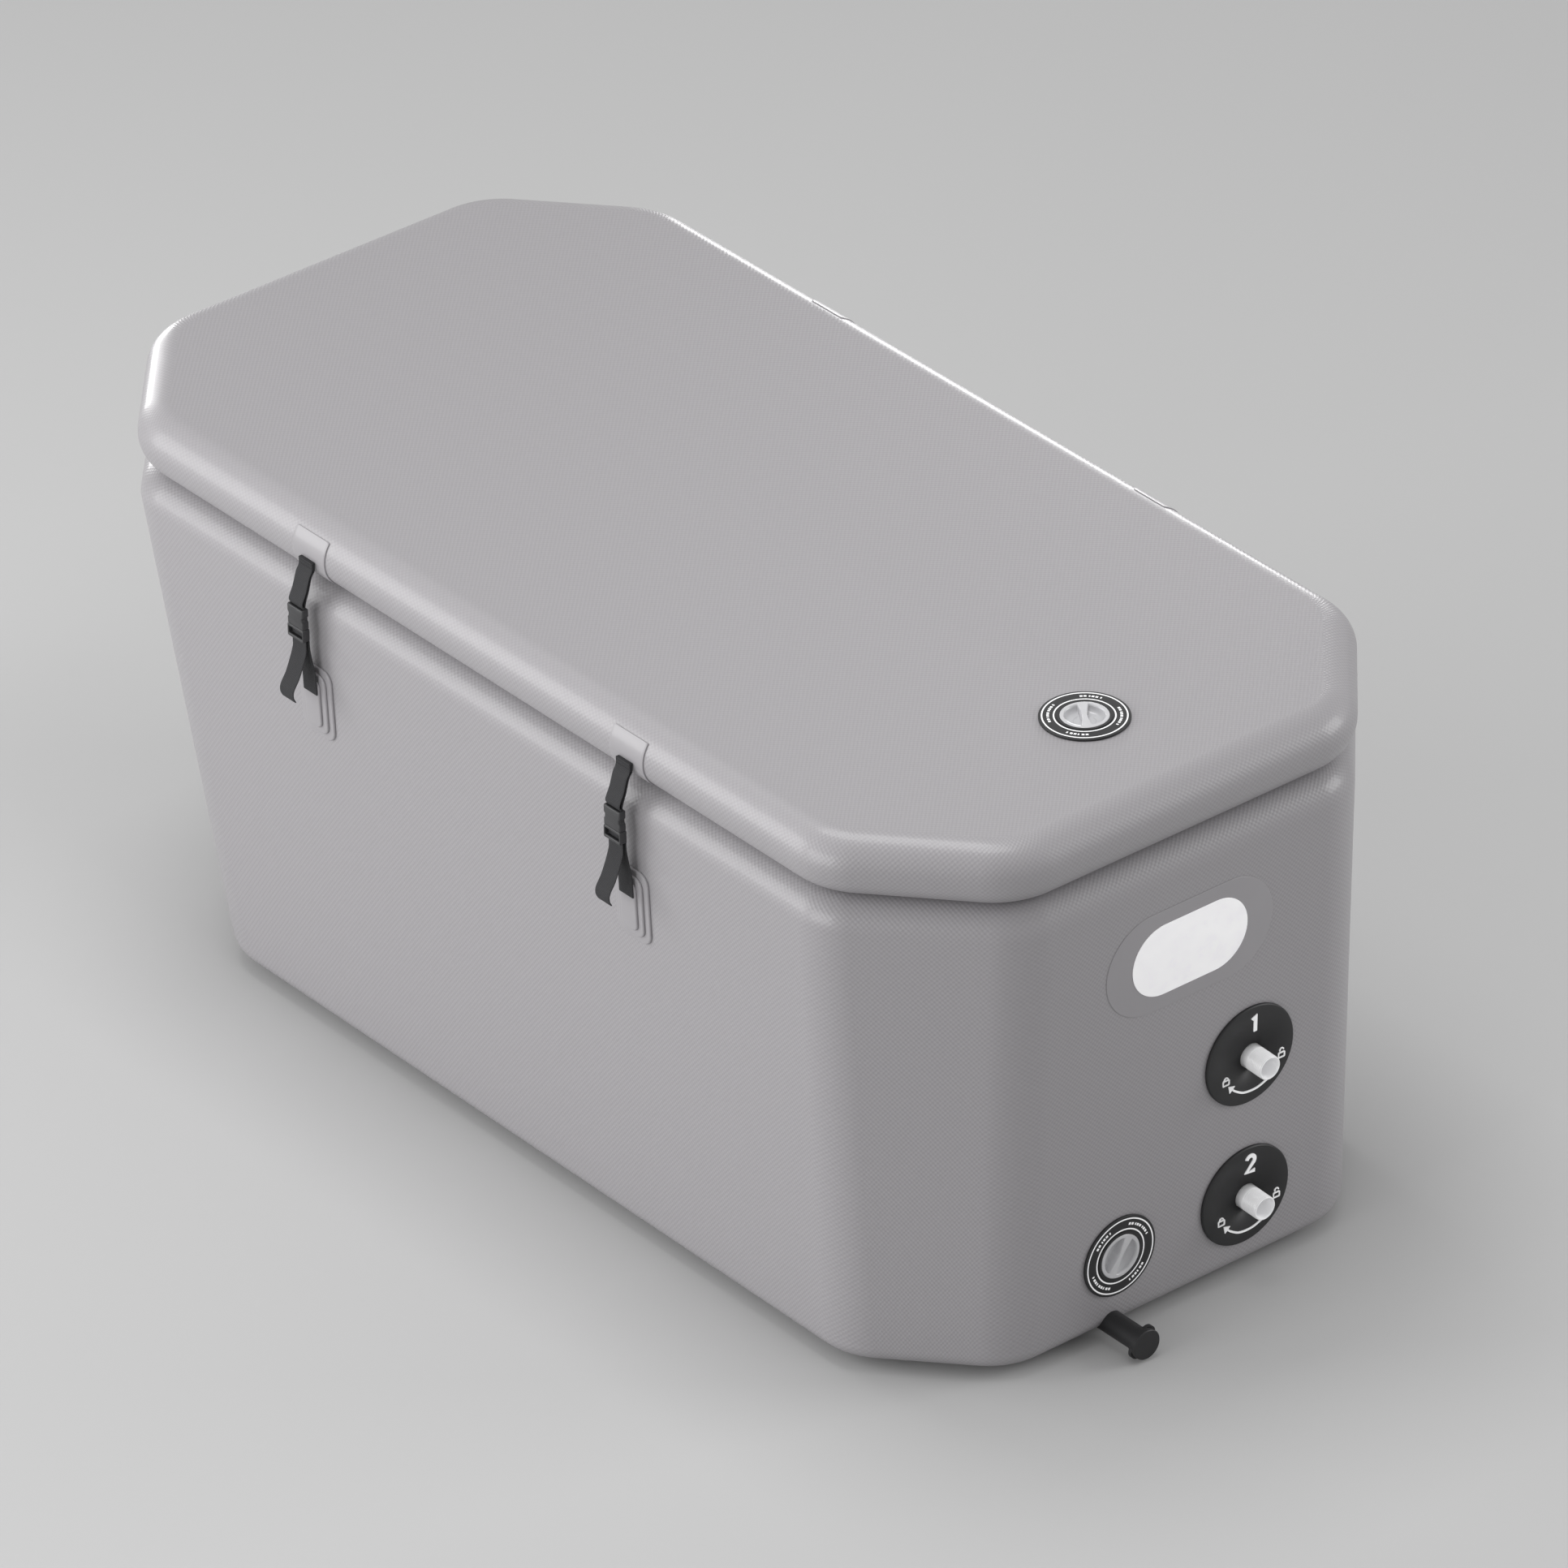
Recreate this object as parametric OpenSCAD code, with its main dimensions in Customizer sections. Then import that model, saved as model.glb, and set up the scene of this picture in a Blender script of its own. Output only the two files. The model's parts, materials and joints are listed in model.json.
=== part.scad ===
// Inflatable cold plunge tub: drop-stitch tub and hinged lid, buckle straps, hose ports, valves and drain.
// Origin: on the floor under the centre of the lid. +X is the port end, -Y the front with the straps, +Z up.

/* [Lid] */
// Length of the lid over its round edge
lid_l = 1600; // [1300:10:1900]
// Width of the lid over its round edge
lid_w = 799; // [720:1:900]
// Thickness of the lid slab
lid_t = 78; // [60:1:100]
// Corner cut of the lid along its length
lid_cut_x = 175; // [150:1:200]
// Corner cut of the lid along its width
lid_cut_y = 153; // [130:1:180]
// Plan radius where a side meets a corner cut
lid_corner_r = 110; // [100:1:120]

/* [Tub] */
// Height of the tub from its underside to the top of the rim
tub_h = 622; // [560:1:700]
// Thickness of the wall, and width of the round rim
wall_t = 78; // [70:1:84]
// Thickness of the inflated floor
floor_t = 50; // [45:1:56]
// How far the rim stands inside the lid's edge
rim_inset = 0.5; // [0:0.1:3]
// How far the foot stands inside the rim at the port end and the long sides
foot_inset = 23; // [10:1:30]
// How far the foot stands inside the rim at the sloping head end
head_run = 149.5; // [40:0.5:160]
// Corner cut of the foot along the length
foot_cut_x = 145; // [135:1:160]
// Corner cut of the foot along the width
foot_cut_y = 129; // [120:1:140]
// Corner cut of the rim along the length
rim_cut_x = 175; // [160:1:190]
// Corner cut of the rim along the width
rim_cut_y = 156; // [145:1:165]
// Plan radius of the tub where a side meets a corner cut
tub_corner_r = 93; // [88:1:100]
// Radius of the foot edge
foot_r = 23; // [18:1:28]
// Thickness of the welded skins
skin_t = 1.5; // [1:0.1:2.5]
// Thickness of the base pad, which sets how high the tub stands
pad_t = 12; // [10:0.5:16]
// How far the base pad stands inside the foot
pad_inset = 60; // [40:1:90]

/* [Hose ports] */
// Sideways place of the ports on the port end
port_y = 94.5; // [60:0.5:120]
// Height of the upper port above the tub's underside
port_a_z = 296; // [250:1:330]
// Height of the lower port above the tub's underside
port_b_z = 102; // [90:1:120]
// Diameter of the black plate
plate_d = 130; // [110:1:150]
// Thickness of the black plate
plate_t = 4; // [3:0.1:6]
// Outer diameter of the hose spigot
spigot_d = 30.5; // [26:0.1:32]
// Bore of the hose spigot
spigot_bore = 26; // [18:0.1:27]
// How far the spigot stands out of the wall
spigot_l = 37.7; // [30:0.1:50]
// Outer diameter of the sleeve through the wall
sleeve_d = 46; // [45:0.1:50]
// Bore of the sleeve
sleeve_bore = 36; // [35:0.1:37]
// Outer diameter of the inner nut
port_nut_d = 86; // [70:1:100]

/* [Inflation valves] */
// Distance of the lid valve from the lid's port end
lid_valve_in = 184; // [165:1:240]
// Sideways place of the port-end valve
wall_valve_y = -93; // [-110:1:-70]
// Height of the port-end valve above the tub's underside
wall_valve_z = 100; // [90:1:120]
// Diameter of the black flange ring
flange_d = 105; // [95:1:115]
// Thickness of the black flange ring
flange_t = 2.8; // [1.5:0.1:3]
// Outer diameter of the valve barrel
barrel_d = 60; // [59:0.5:64]
// Depth of the valve barrel behind the skin
barrel_l = 42; // [36:1:48]
// Diameter of the white cap
cap_d = 57; // [54:0.5:57.5]
// Width of the cap's grip bar at its ends
grip_w = 13; // [9:0.5:16]
// Turn of the lid cap's grip bar from the length of the lid
lid_cap_turn = -35; // [-90:1:90]
// Turn of the port-end cap's grip bar from upright
wall_cap_turn = -29; // [-90:1:90]
// How far the valve stem can be pressed
stem_travel = 5; // [3:0.5:6]

/* [Straps] */
// Distance of each strap from the middle of the length
strap_x = 292; // [240:1:340]
// Width of the webbing
webbing_w = 25.4; // [20:0.1:30]
// Thickness of the webbing
webbing_t = 1.5; // [1:0.1:2]
// Thickness of the side walls beside the webbing in a buckle
buckle_side = 1.8; // [1.5:0.1:3]
// Thickness of the buckle from front to back
buckle_t = 10; // [9:0.5:12]
// Length of the buckle socket
socket_l = 26; // [22:0.5:28]
// Length of the buckle clip without its prongs
clip_l = 17; // [16:0.5:24]
// Width of the patches welded under the straps
patch_w = 60; // [50:1:80]
// Height of the wall patches
patch_h = 96; // [80:1:110]
// Thickness of one wall patch layer
patch_t = 3; // [2:0.1:3.5]
// Step from the edge of one patch layer to the next
patch_step = 8; // [6:0.5:10]
// How far the middle of the wall patches lies below the rim
patch_drop = 158; // [150:1:190]
// Thickness of the wrap patches on the lid edge
wrap_t = 1.5; // [0.8:0.1:2]

/* [Badge] */
// Length of the white pill panel
badge_l = 170; // [120:1:200]
// Width of the white pill panel
badge_w = 94; // [70:1:110]
// Width of the grey backing that shows around the panel
badge_border = 38; // [8:1:42]
// How far the badge centre lies below the rim
badge_drop = 140; // [125:1:160]

/* [Drain] */
// Outer diameter of the drain pipe
drain_d = 29; // [24:0.5:29.5]
// Sideways place of the drain pipe
drain_y = -101; // [-120:1:-90]
// Height of the drain pipe's axis above the floor
drain_z = 22.5; // [22:0.5:24]
// Distance of the floor inlet from the foot's port end
inlet_in = 136.5; // [125:0.5:180]
// How far the drain cap stands out past the foot's port end
drain_reach = 63; // [52:0.5:95]
// Radius of the disc that ends the drain cap
drain_cap_r = 19; // [17:0.5:20]
// Length of the drain cap
drain_cap_l = 15; // [12:0.5:18]

/* [Hidden] */

// Clearances: seat between pieces that lie on each other, running between pieces that turn or slide
seat = 0.2;
running = 0.1;
// Overrun of a cut past the face that it opens
cut = 1;
// Steps along one corner arc, the foot radius, the round rim and a fine circle
corner_n = 4;
foot_n = 4;
rim_n = 12;
fine = 96;
small = 48;

rim_r = wall_t / 2;
rim_z = tub_h - rim_r;
lean = atan(foot_inset / rim_z);
core_gap = skin_t + seat;
lid_z = pad_t + tub_h + seat;
lid_r = lid_t / 2;
lid_dims = [lid_l / 2, lid_l / 2, lid_w / 2, lid_cut_x, lid_cut_y];
rim_half_l = lid_l / 2 - rim_inset;
rim_half_w = lid_w / 2 - rim_inset;
rim_dims = [rim_half_l, rim_half_l, rim_half_w, rim_cut_x, rim_cut_y];
foot_dims = [rim_half_l - foot_inset, rim_half_l - head_run, rim_half_w - foot_inset, foot_cut_x, foot_cut_y];

inlet_x = foot_dims[0] - inlet_in;
drain_end_x = foot_dims[0] + drain_reach;
lid_valve_x = lid_dims[0] - lid_valve_in;
badge_z = tub_h - badge_drop;
patch_mid_z = tub_h - patch_drop;

// Plan outline: port end, head end, half width, corner cut along X and Y at a height above the underside
function tub_dims(z) = let(t = min(max(z / rim_z, 0), 1)) foot_dims + t * (rim_dims - foot_dims);

// Centres of the eight corner arcs, counter-clockwise from the front port corner
function corner_centres(d, r) =
    let(
        a = atan2(d[4], d[3]),
        ax = d[3] - r * (1 - tan(a / 2)),
        ay = d[4] - r * (1 - tan((90 - a) / 2)),
        x = d[0] - r,
        h = r - d[1],
        y = d[2] - r
    )
    [[x - ax, -y], [x, ay - y], [x, y - ay], [x - ax, y], [h + ax, y], [h, y - ay], [h, ay - y], [h + ax, -y]];

// Start and end angle of each corner arc
function corner_angles(d) =
    let(a = 90 - atan2(d[4], d[3]))
    [[-90, -a], [-a, 0], [0, a], [a, 90], [90, 180 - a], [180 - a, 180], [180, 180 + a], [180 + a, 270]];

// One ring of the plan outline, drawn in by inset, at height z
function ring(d, r, inset, z) =
    let(centres = corner_centres(d, r), angles = corner_angles(d))
    [for (k = [0 : 7]) for (i = [0 : corner_n])
        let(t = angles[k][0] + (angles[k][1] - angles[k][0]) * i / corner_n)
        [centres[k][0] + (r - inset) * cos(t), centres[k][1] + (r - inset) * sin(t), z]];

// Skin through rings of points, either closed on itself or capped at both ends
module loft(rings, cyclic) {
    n = len(rings[0]);
    m = len(rings);
    spans = cyclic ? m : m - 1;
    sides = [for (j = [0 : spans - 1]) for (i = [0 : n - 1])
        let(a = j * n + i, b = j * n + (i + 1) % n, c = ((j + 1) % m) * n + i, e = ((j + 1) % m) * n + (i + 1) % n)
        each [[a, e, b], [a, c, e]]];
    caps = cyclic ? [] : [[for (i = [0 : n - 1]) i], [for (i = [n - 1 : -1 : 0]) (m - 1) * n + i]];
    polyhedron([for (one = rings) each one], concat(sides, caps));
}

// Tub surface through a profile of [inset, height above the underside]
module tub_loft(profile, cyclic) {
    rings = [for (p = profile) ring(tub_dims(p[1]), tub_corner_r, p[0], pad_t + p[1])];
    loft(rings, cyclic);
}

module lid_loft(profile, cyclic) {
    rings = [for (p = profile) ring(lid_dims, lid_corner_r, p[0], lid_z + lid_r + p[1])];
    loft(rings, cyclic);
}

// Profile pieces at a depth below the fitted surface
function foot_arc(depth) = [for (i = [0 : foot_n])
    let(a = -90 + 90 * i / foot_n)
    [foot_r - (foot_r - depth) * cos(a), foot_r + (foot_r - depth) * sin(a)]];
function rim_arc(depth, from, to, steps) = [for (i = [0 : steps])
    let(a = from + (to - from) * i / steps)
    [rim_r - (rim_r - depth) * cos(a), rim_z + (rim_r - depth) * sin(a)]];
function edge_arc(depth, steps) = [for (i = [0 : steps])
    let(a = -90 + 180 * i / steps)
    [lid_r - (lid_r - depth) * cos(a), (lid_r - depth) * sin(a)]];
function reversed(list) = [for (i = [len(list) - 1 : -1 : 0]) list[i]];

// Wall frames: +Z out of the wall, on the wall plane at a height above the underside
module on_port_wall(y, z) {
    translate([tub_dims(z)[0], y, pad_t + z])
        rotate([0, 90 + lean, 0])
            children();
}

module on_front_wall(x, z) {
    translate([x, -tub_dims(z)[2], pad_t + z])
        rotate([90 + lean, 0, 0])
            children();
}

module on_lid_top(x) {
    translate([x, 0, lid_z + lid_t])
        children();
}

module tube(outer, bore, from, to, round = fine) {
    difference() {
        translate([0, 0, from])
            cylinder(d = outer, h = to - from, $fn = round);
        translate([0, 0, from - cut])
            cylinder(d = bore, h = to - from + 2 * cut, $fn = round);
    }
}

module bore(d, from, to) {
    translate([0, 0, from])
        cylinder(d = d, h = to - from, $fn = fine);
}

module stadium(length, width) {
    for (side = [-1, 1])
        translate([0, side * (length - width) / 2])
            circle(d = width, $fn = fine);
    square([width, length - width], center = true);
}

module rounded_box(size, r) {
    linear_extrude(size[2]) {
        for (x = [-1, 1]) for (y = [-1, 1])
            translate([x * (size[0] / 2 - r), y * (size[1] / 2 - r)])
                circle(r = r, $fn = small);
        square([size[0] - 2 * r, size[1]], center = true);
        square([size[0], size[1] - 2 * r], center = true);
    }
}

// Holes for what passes through the port end
module port_wall_cuts(port_hole, valve_hole) {
    for (z = [port_a_z, port_b_z])
        on_port_wall(port_y, z)
            bore(port_hole, -2 * wall_t, wall_t);
    on_port_wall(wall_valve_y, wall_valve_z)
        bore(valve_hole, -barrel_l - valve_nut_t, wall_t);
}

// Channel for the drain pipe and its elbow, open at the underside
drain_bore = drain_d + 2 * running + seat;
elbow_r = 26;
module drain_channel() {
    translate([inlet_x, drain_y, drain_z])
        rotate([0, 90, 0])
            cylinder(d = drain_bore, h = lid_l, $fn = fine);
    translate([inlet_x, drain_y - drain_bore / 2, 0])
        cube([lid_l, drain_bore, drain_z]);
    translate([inlet_x, drain_y, 0])
        cylinder(d = drain_bore, h = pad_t + floor_t / 2, $fn = fine);
}

module elbow_pocket() {
    translate([inlet_x - drain_bore / 2, drain_y - drain_bore / 2, 0])
        cube([elbow_r + drain_bore, drain_bore, drain_z + elbow_r]);
}

// Tub
module tub_core() {
    color("#d6d3da")
        difference() {
            tub_loft(concat(foot_arc(core_gap), rim_arc(core_gap, 0, 180, rim_n), [[wall_t - core_gap, core_gap]]),
                true);
            port_wall_cuts(sleeve_d + 2 * seat, valve_nut_d + 2 * seat);
            drain_channel();
        }
}

module floor_core() {
    inset = wall_t - core_gap + seat;
    color("#d6d3da")
        difference() {
            tub_loft([[inset, core_gap], [inset, floor_t - core_gap]], false);
            drain_channel();
            elbow_pocket();
            translate([inlet_x, drain_y, 0])
                bore(inlet_d + 2 * seat, 0, pad_t + floor_t + cut);
        }
}

module tub_outer_skin() {
    color("#b0aeb3")
        difference() {
            tub_loft(concat(foot_arc(0), rim_arc(0, 0, 90, rim_n / 2), reversed(rim_arc(skin_t, 0, 90, rim_n / 2)),
                reversed(foot_arc(skin_t))), false);
            port_wall_cuts(sleeve_d + 2 * seat, barrel_d + 2 * seat);
            drain_channel();
            elbow_pocket();
        }
}

module tub_inner_liner() {
    inner = [wall_t - skin_t, floor_t - skin_t];
    color("#b9b7bd")
        difference() {
            tub_loft(concat([inner], reversed(rim_arc(skin_t, 90, 180, rim_n / 2)), rim_arc(0, 90, 180, rim_n / 2),
                [[wall_t, floor_t]]), false);
            for (z = [port_a_z, port_b_z])
                on_port_wall(port_y, z)
                    bore(sleeve_d + 2 * seat, -2 * wall_t, 0);
            translate([inlet_x, drain_y, 0])
                bore(inlet_d + 2 * seat, 0, pad_t + floor_t + cut);
        }
}

module base_pad() {
    color("#3a3a3c")
        difference() {
            loft([ring(foot_dims, tub_corner_r, pad_inset, 0), ring(foot_dims, tub_corner_r, pad_inset, pad_t)],
                false);
            drain_channel();
            elbow_pocket();
        }
}

// Badge: a bare pill panel on its backing patch
badge_patch_t = 0.8;
badge_panel_t = 0.8;
module badge_patch() {
    color("#8b898e")
        on_port_wall(0, badge_z)
            translate([0, 0, running])
                linear_extrude(badge_patch_t)
                    stadium(badge_l + 2 * badge_border, badge_w + badge_border);
}

module badge_panel() {
    color("#f4f3f7")
        on_port_wall(0, badge_z)
            translate([0, 0, 2 * running + badge_patch_t])
                linear_extrude(badge_panel_t)
                    stadium(badge_l, badge_w);
}

// Hose port, in its wall frame
sleeve_l = wall_t + 14;
groove_at = -14;
groove_w = 6;
groove_d = sleeve_bore + 4.4;
// The connector's barrel is relieved at its front, its ring groove lies this far from its inner end
barrel_relief = 1;
ring_at = 6;
ring_bite = 0.6;
ring_squeeze = 0.4;
lug_d = groove_d - 2 * seat;
connector_d = sleeve_bore - 2 * running;
connector_l = 40;
o_ring_t = 3;
port_nut_t = 10;
gasket_t = 2.5;
entry_turn = 120;
module lug_sector(outer, inner, from, to) {
    intersection() {
        tube(outer, inner, from, to);
        translate([-outer, -lug_w / 2, from - cut])
            cube([2 * outer, lug_w, to - from + 2 * cut]);
    }
}
lug_w = 10;

module port_plate() {
    color("#2e2e30")
        difference() {
            union() {
                translate([0, 0, running])
                    cylinder(d = plate_d, h = plate_t - plate_edge, $fn = fine);
                translate([0, 0, running + plate_t - plate_edge])
                    cylinder(d1 = plate_d, d2 = plate_d - 2 * plate_edge, h = plate_edge, $fn = fine);
            }
            bore(spigot_d + 1, -cut, plate_t + 2 * cut);
        }
}
plate_edge = 1;

module port_sleeve() {
    color("#3b3b3d")
        difference() {
            tube(sleeve_d, sleeve_bore, -sleeve_l, 0);
            bore(groove_d, groove_at, groove_at + groove_w);
            rotate([0, 0, entry_turn])
                lug_sector(groove_d - 2 * running, sleeve_bore - 2, groove_at + groove_w / 2, cut);
        }
}

rib_n = 9;
rib_pitch = 2.6;
rib_h = 0.8;
rib_lip = 1;
module port_connector() {
    rib_from = spigot_l - rib_n * rib_pitch - rib_lip;
    color("#f2f1f4")
        difference() {
            union() {
                translate([0, 0, -connector_l])
                    cylinder(d = connector_d, h = connector_l - barrel_relief, $fn = fine);
                translate([0, 0, -connector_l])
                    cylinder(d = spigot_d - 2 * rib_h, h = connector_l + spigot_l, $fn = fine);
                translate([0, 0, plate_t + seat])
                    cylinder(d = spigot_d, h = rib_from - plate_t - seat, $fn = fine);
                for (i = [0 : rib_n - 1])
                    translate([0, 0, rib_from + i * rib_pitch])
                        cylinder(d1 = spigot_d, d2 = spigot_d - 2 * rib_h, h = rib_pitch, $fn = fine);
                lug_sector(lug_d, connector_d - 2, groove_at + seat, groove_at + groove_w - seat);
            }
            bore(spigot_bore, -connector_l - cut, spigot_l + cut);
            translate([0, 0, ring_at - connector_l])
                rotate_extrude($fn = fine)
                    translate([connector_d / 2 - o_ring_t + ring_bite, 0])
                        square([o_ring_t, o_ring_t + 2 * running]);
        }
}

module port_o_ring() {
    color("#1c1c1d")
        translate([0, 0, ring_at - connector_l + o_ring_t / 2 + running])
            rotate_extrude($fn = fine)
                translate([sleeve_bore / 2 - running - o_ring_t / 2 + ring_squeeze, 0])
                    circle(d = o_ring_t - 1, $fn = small);
}

module port_gasket() {
    color("#1c1c1d")
        tube(port_nut_d - 8, sleeve_d + 2 * running, -wall_t - seat - gasket_t, -wall_t - seat);
}

nut_notch_d = 8;
module port_nut() {
    at = -wall_t - 2 * seat - gasket_t;
    color("#3b3b3d")
        difference() {
            tube(port_nut_d, sleeve_d + 2 * running, at - port_nut_t, at);
            for (a = [0 : 30 : 330])
                rotate([0, 0, a])
                    translate([port_nut_d / 2 + nut_notch_d / 4, 0, 0])
                        bore(nut_notch_d, at - port_nut_t - cut, at + cut);
        }
}

strainer_h = 12;
strainer_wall = 2.5;
strainer_hole = 4.5;
strainer_pitch = 7.5;
module port_strainer() {
    from = -sleeve_l - seat - strainer_h;
    color("#3b3b3d")
        difference() {
            translate([0, 0, from])
                cylinder(d = sleeve_d, h = strainer_h, $fn = fine);
            bore(sleeve_d - 2 * strainer_wall, from + strainer_wall, cut);
            for (i = [-2 : 2]) for (j = [-2 : 2])
                if (norm([i, j]) * strainer_pitch < sleeve_d / 2 - 2 * strainer_wall)
                    translate([i * strainer_pitch, j * strainer_pitch, 0])
                        bore(strainer_hole, from - cut, from + strainer_wall + cut);
        }
}

// Inflation valve, +Z out of the skin
valve_nut_d = 76;
valve_nut_t = 8;
lip_d = 64;
lip_t = 0.8;
valve_bore = 50;
cap_t = 4;
cap_rise = 0.2;
cap_skirt = 9;
bowl_floor_t = 3;
bowl_d = cap_d - 9;
gasket_ring_t = 1;
web_at = -26;
web_t = 3;
web_hole = 10;
stem_d = 8;
// Heights of the lip's top, the cap's underside, its gasket and the seat cut into the barrel
valve_top = 2 * running + flange_t + lip_t;
cap_at = valve_top + cap_rise - cap_t;
gasket_at = cap_at - running / 2 - gasket_ring_t;
seat_floor = gasket_at - running / 2;
cap_seat_d = cap_d + 2 * seat;
module valve_flange() {
    color("#2e2e30")
        translate([0, 0, running])
            tube(flange_d, barrel_d + 2 * running, 0, flange_t);
}

module valve_body() {
    color("#2e2e30") {
        difference() {
            union() {
                tube(barrel_d, valve_bore, -barrel_l, valve_top);
                tube(lip_d, valve_bore, valve_top - lip_t, valve_top);
            }
            bore(cap_seat_d, seat_floor, valve_top + cut);
        }
        difference() {
            bore(valve_bore + 1, web_at, web_at + web_t);
            bore(stem_d + 2 * seat, web_at - cut, web_at + web_t + cut);
            for (a = [45 : 90 : 315])
                rotate([0, 0, a])
                    translate([valve_bore / 3.4, 0, 0])
                        bore(web_hole, web_at - cut, web_at + web_t + cut);
        }
    }
}

module valve_nut() {
    color("#3b3b3d")
        tube(valve_nut_d, barrel_d + 2 * running, -core_gap - valve_nut_t, -core_gap);
}

// A bowl with a grip bar across it, wider at both ends, flush with the rim
module valve_cap(turn) {
    grip_end = grip_w / 2 + 4;
    color("#f4f3f7") {
        difference() {
            union() {
                translate([0, 0, cap_at])
                    cylinder(d = cap_d, h = cap_t, $fn = fine);
                bore(valve_bore - 2 * seat, cap_at - cap_skirt, cap_at + cut);
            }
            bore(bowl_d, cap_at - cap_skirt + bowl_floor_t, cap_at + cap_t + cut);
        }
        intersection() {
            bore(bowl_d + 2 * cut, cap_at - cap_skirt + cut, cap_at + cap_t);
            for (side = [0, 180])
                rotate([0, 0, side + turn])
                    translate([0, 0, cap_at - cap_skirt])
                        linear_extrude(cap_skirt + cap_t + cut)
                            polygon([[0, -grip_w / 4], [bowl_d, -grip_end], [bowl_d, grip_end], [0, grip_w / 4]]);
        }
    }
}

module valve_gasket() {
    color("#1c1c1d")
        tube(cap_d - 1, valve_bore + 1, gasket_at, gasket_at + gasket_ring_t);
}

stem_head_d = 18;
stem_disc_t = 2;
stem_top = -10;
module valve_stem() {
    color("#e4e3e6") {
        bore(stem_d, web_at - cut, stem_top);
        bore(stem_head_d, stem_top - stem_disc_t, stem_top);
        bore(valve_bore - stem_d, web_at - seat - stem_disc_t, web_at - seat);
    }
}

// Spring wire as one helix between the web and the stem's head
wire_d = 1.2;
coil_n = 3;
coil_steps = 12;
coil_gap = 2.2;
function coil_frame(t, h) =
    let(a = 360 * coil_n * t, r = stem_d / 2 + coil_gap)
    [for (k = [0 : 5])
        let(s = 60 * k, out = r + wire_d / 2 * cos(s))
        [out * cos(a), out * sin(a), h * t + wire_d / 2 * sin(s)]];
module valve_spring() {
    from = web_at + web_t + wire_d / 2 + seat;
    height = stem_top - stem_disc_t - seat - wire_d / 2 - from;
    steps = coil_n * coil_steps;
    color("#bfc1c4")
        translate([0, 0, from])
            loft([for (i = [0 : steps]) reversed(coil_frame(i / steps, height))], false);
}

// Drain
inlet_d = 40;
inlet_flange_d = 72;
inlet_flange_t = 4;
inlet_wall = 3;
inlet_step = 2;
strainer_plate_t = 3;
strainer_plug = 6;
strainer_ring_r = 10;
elbow_top = drain_z + elbow_r;
floor_top = pad_t + floor_t;
module drain_inlet() {
    color("#2e2e30")
        translate([inlet_x, drain_y, 0]) {
            tube(inlet_flange_d, inlet_d - 2 * inlet_wall, floor_top + running, floor_top + inlet_flange_t);
            tube(inlet_d, inlet_d - 2 * inlet_wall, elbow_top + inlet_step, floor_top + inlet_flange_t);
            tube(inlet_d, drain_d - 2 * drain_wall, elbow_top + seat, elbow_top + inlet_step + cut);
        }
}

module drain_strainer() {
    at = floor_top + inlet_flange_t + running;
    color("#3b3b3d")
        translate([inlet_x, drain_y, 0])
            difference() {
                union() {
                    bore(inlet_flange_d - 4 * inlet_flange_t, at, at + strainer_plate_t);
                    bore(inlet_d - 2 * inlet_wall - 2 * seat, at - strainer_plug, at + cut);
                }
                for (a = [0 : 60 : 300])
                    rotate([0, 0, a])
                        translate([strainer_ring_r, 0, 0])
                            bore(drain_hole, at - strainer_plug - cut, at + strainer_plate_t + cut);
                bore(drain_hole, at - strainer_plug - cut, at + strainer_plate_t + cut);
            }
}

drain_hole = 6;
drain_wall = 2.5;
cap_end_t = 3;
pipe_end_x = drain_end_x - cap_end_t;
module drain_pipe() {
    straight_x = inlet_x + elbow_r;
    color("#242426")
        translate([0, drain_y, 0]) {
            translate([straight_x, 0, elbow_top])
                rotate([90, 0, 0])
                    rotate([0, 0, 180])
                        rotate_extrude(angle = 90, $fn = small)
                            translate([elbow_r, 0])
                                difference() {
                                    circle(d = drain_d, $fn = small);
                                    circle(d = drain_d - 2 * drain_wall, $fn = small);
                                }
            translate([straight_x, 0, drain_z])
                rotate([0, 90, 0])
                    tube(drain_d, drain_d - 2 * drain_wall, 0, drain_end_x - drain_cap_l - seat - straight_x, small);
            translate([straight_x, 0, drain_z])
                rotate([0, 90, 0])
                    tube(neck_d, drain_d - 2 * drain_wall, 0, pipe_end_x - 1 - straight_x, small);
        }
}
neck_d = 25.6;
cap_body_r = 16.4;
cap_disc_t = 6;
cap_disc_edge = 1;
ear_r = 9.5;
ear_at = 8.6;
ear_from = 7.5;
ear_t = 5;

module drain_cap() {
    color("#242426")
        translate([drain_end_x, drain_y, drain_z])
            rotate([0, -90, 0])
                difference() {
                    union() {
                        cylinder(r1 = drain_cap_r - cap_disc_edge, r2 = drain_cap_r, h = cap_disc_edge, $fn = fine);
                        bore(2 * drain_cap_r, cap_disc_edge, cap_disc_t);
                        bore(2 * cap_body_r, cap_disc_edge, drain_cap_l);
                        for (side = [-1, 1])
                            translate([side * ear_at, side * ear_at, 0])
                                bore(2 * ear_r, ear_from, ear_from + ear_t);
                    }
                    bore(neck_d + 4 * running, cap_end_t, drain_cap_l + cut);
                }
}

module drain_cap_washer() {
    color("#1c1c1d")
        translate([pipe_end_x - running, drain_y, drain_z])
            rotate([0, -90, 0])
                tube(neck_d - 1, drain_d - 2 * drain_wall, 0, 1 - 2 * running, small);
}

// Lid
lid_skin_t = 1;
lid_core_gap = lid_skin_t + seat;
module lid_core() {
    color("#d6d3da")
        difference() {
            lid_loft(edge_arc(lid_core_gap, rim_n), false);
            on_lid_top(lid_valve_x) {
                bore(valve_nut_d + 2 * seat, -core_gap - valve_nut_t - seat, cut);
                bore(barrel_d + 2 * seat, -barrel_l - cut, cut);
            }
        }
}

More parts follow.
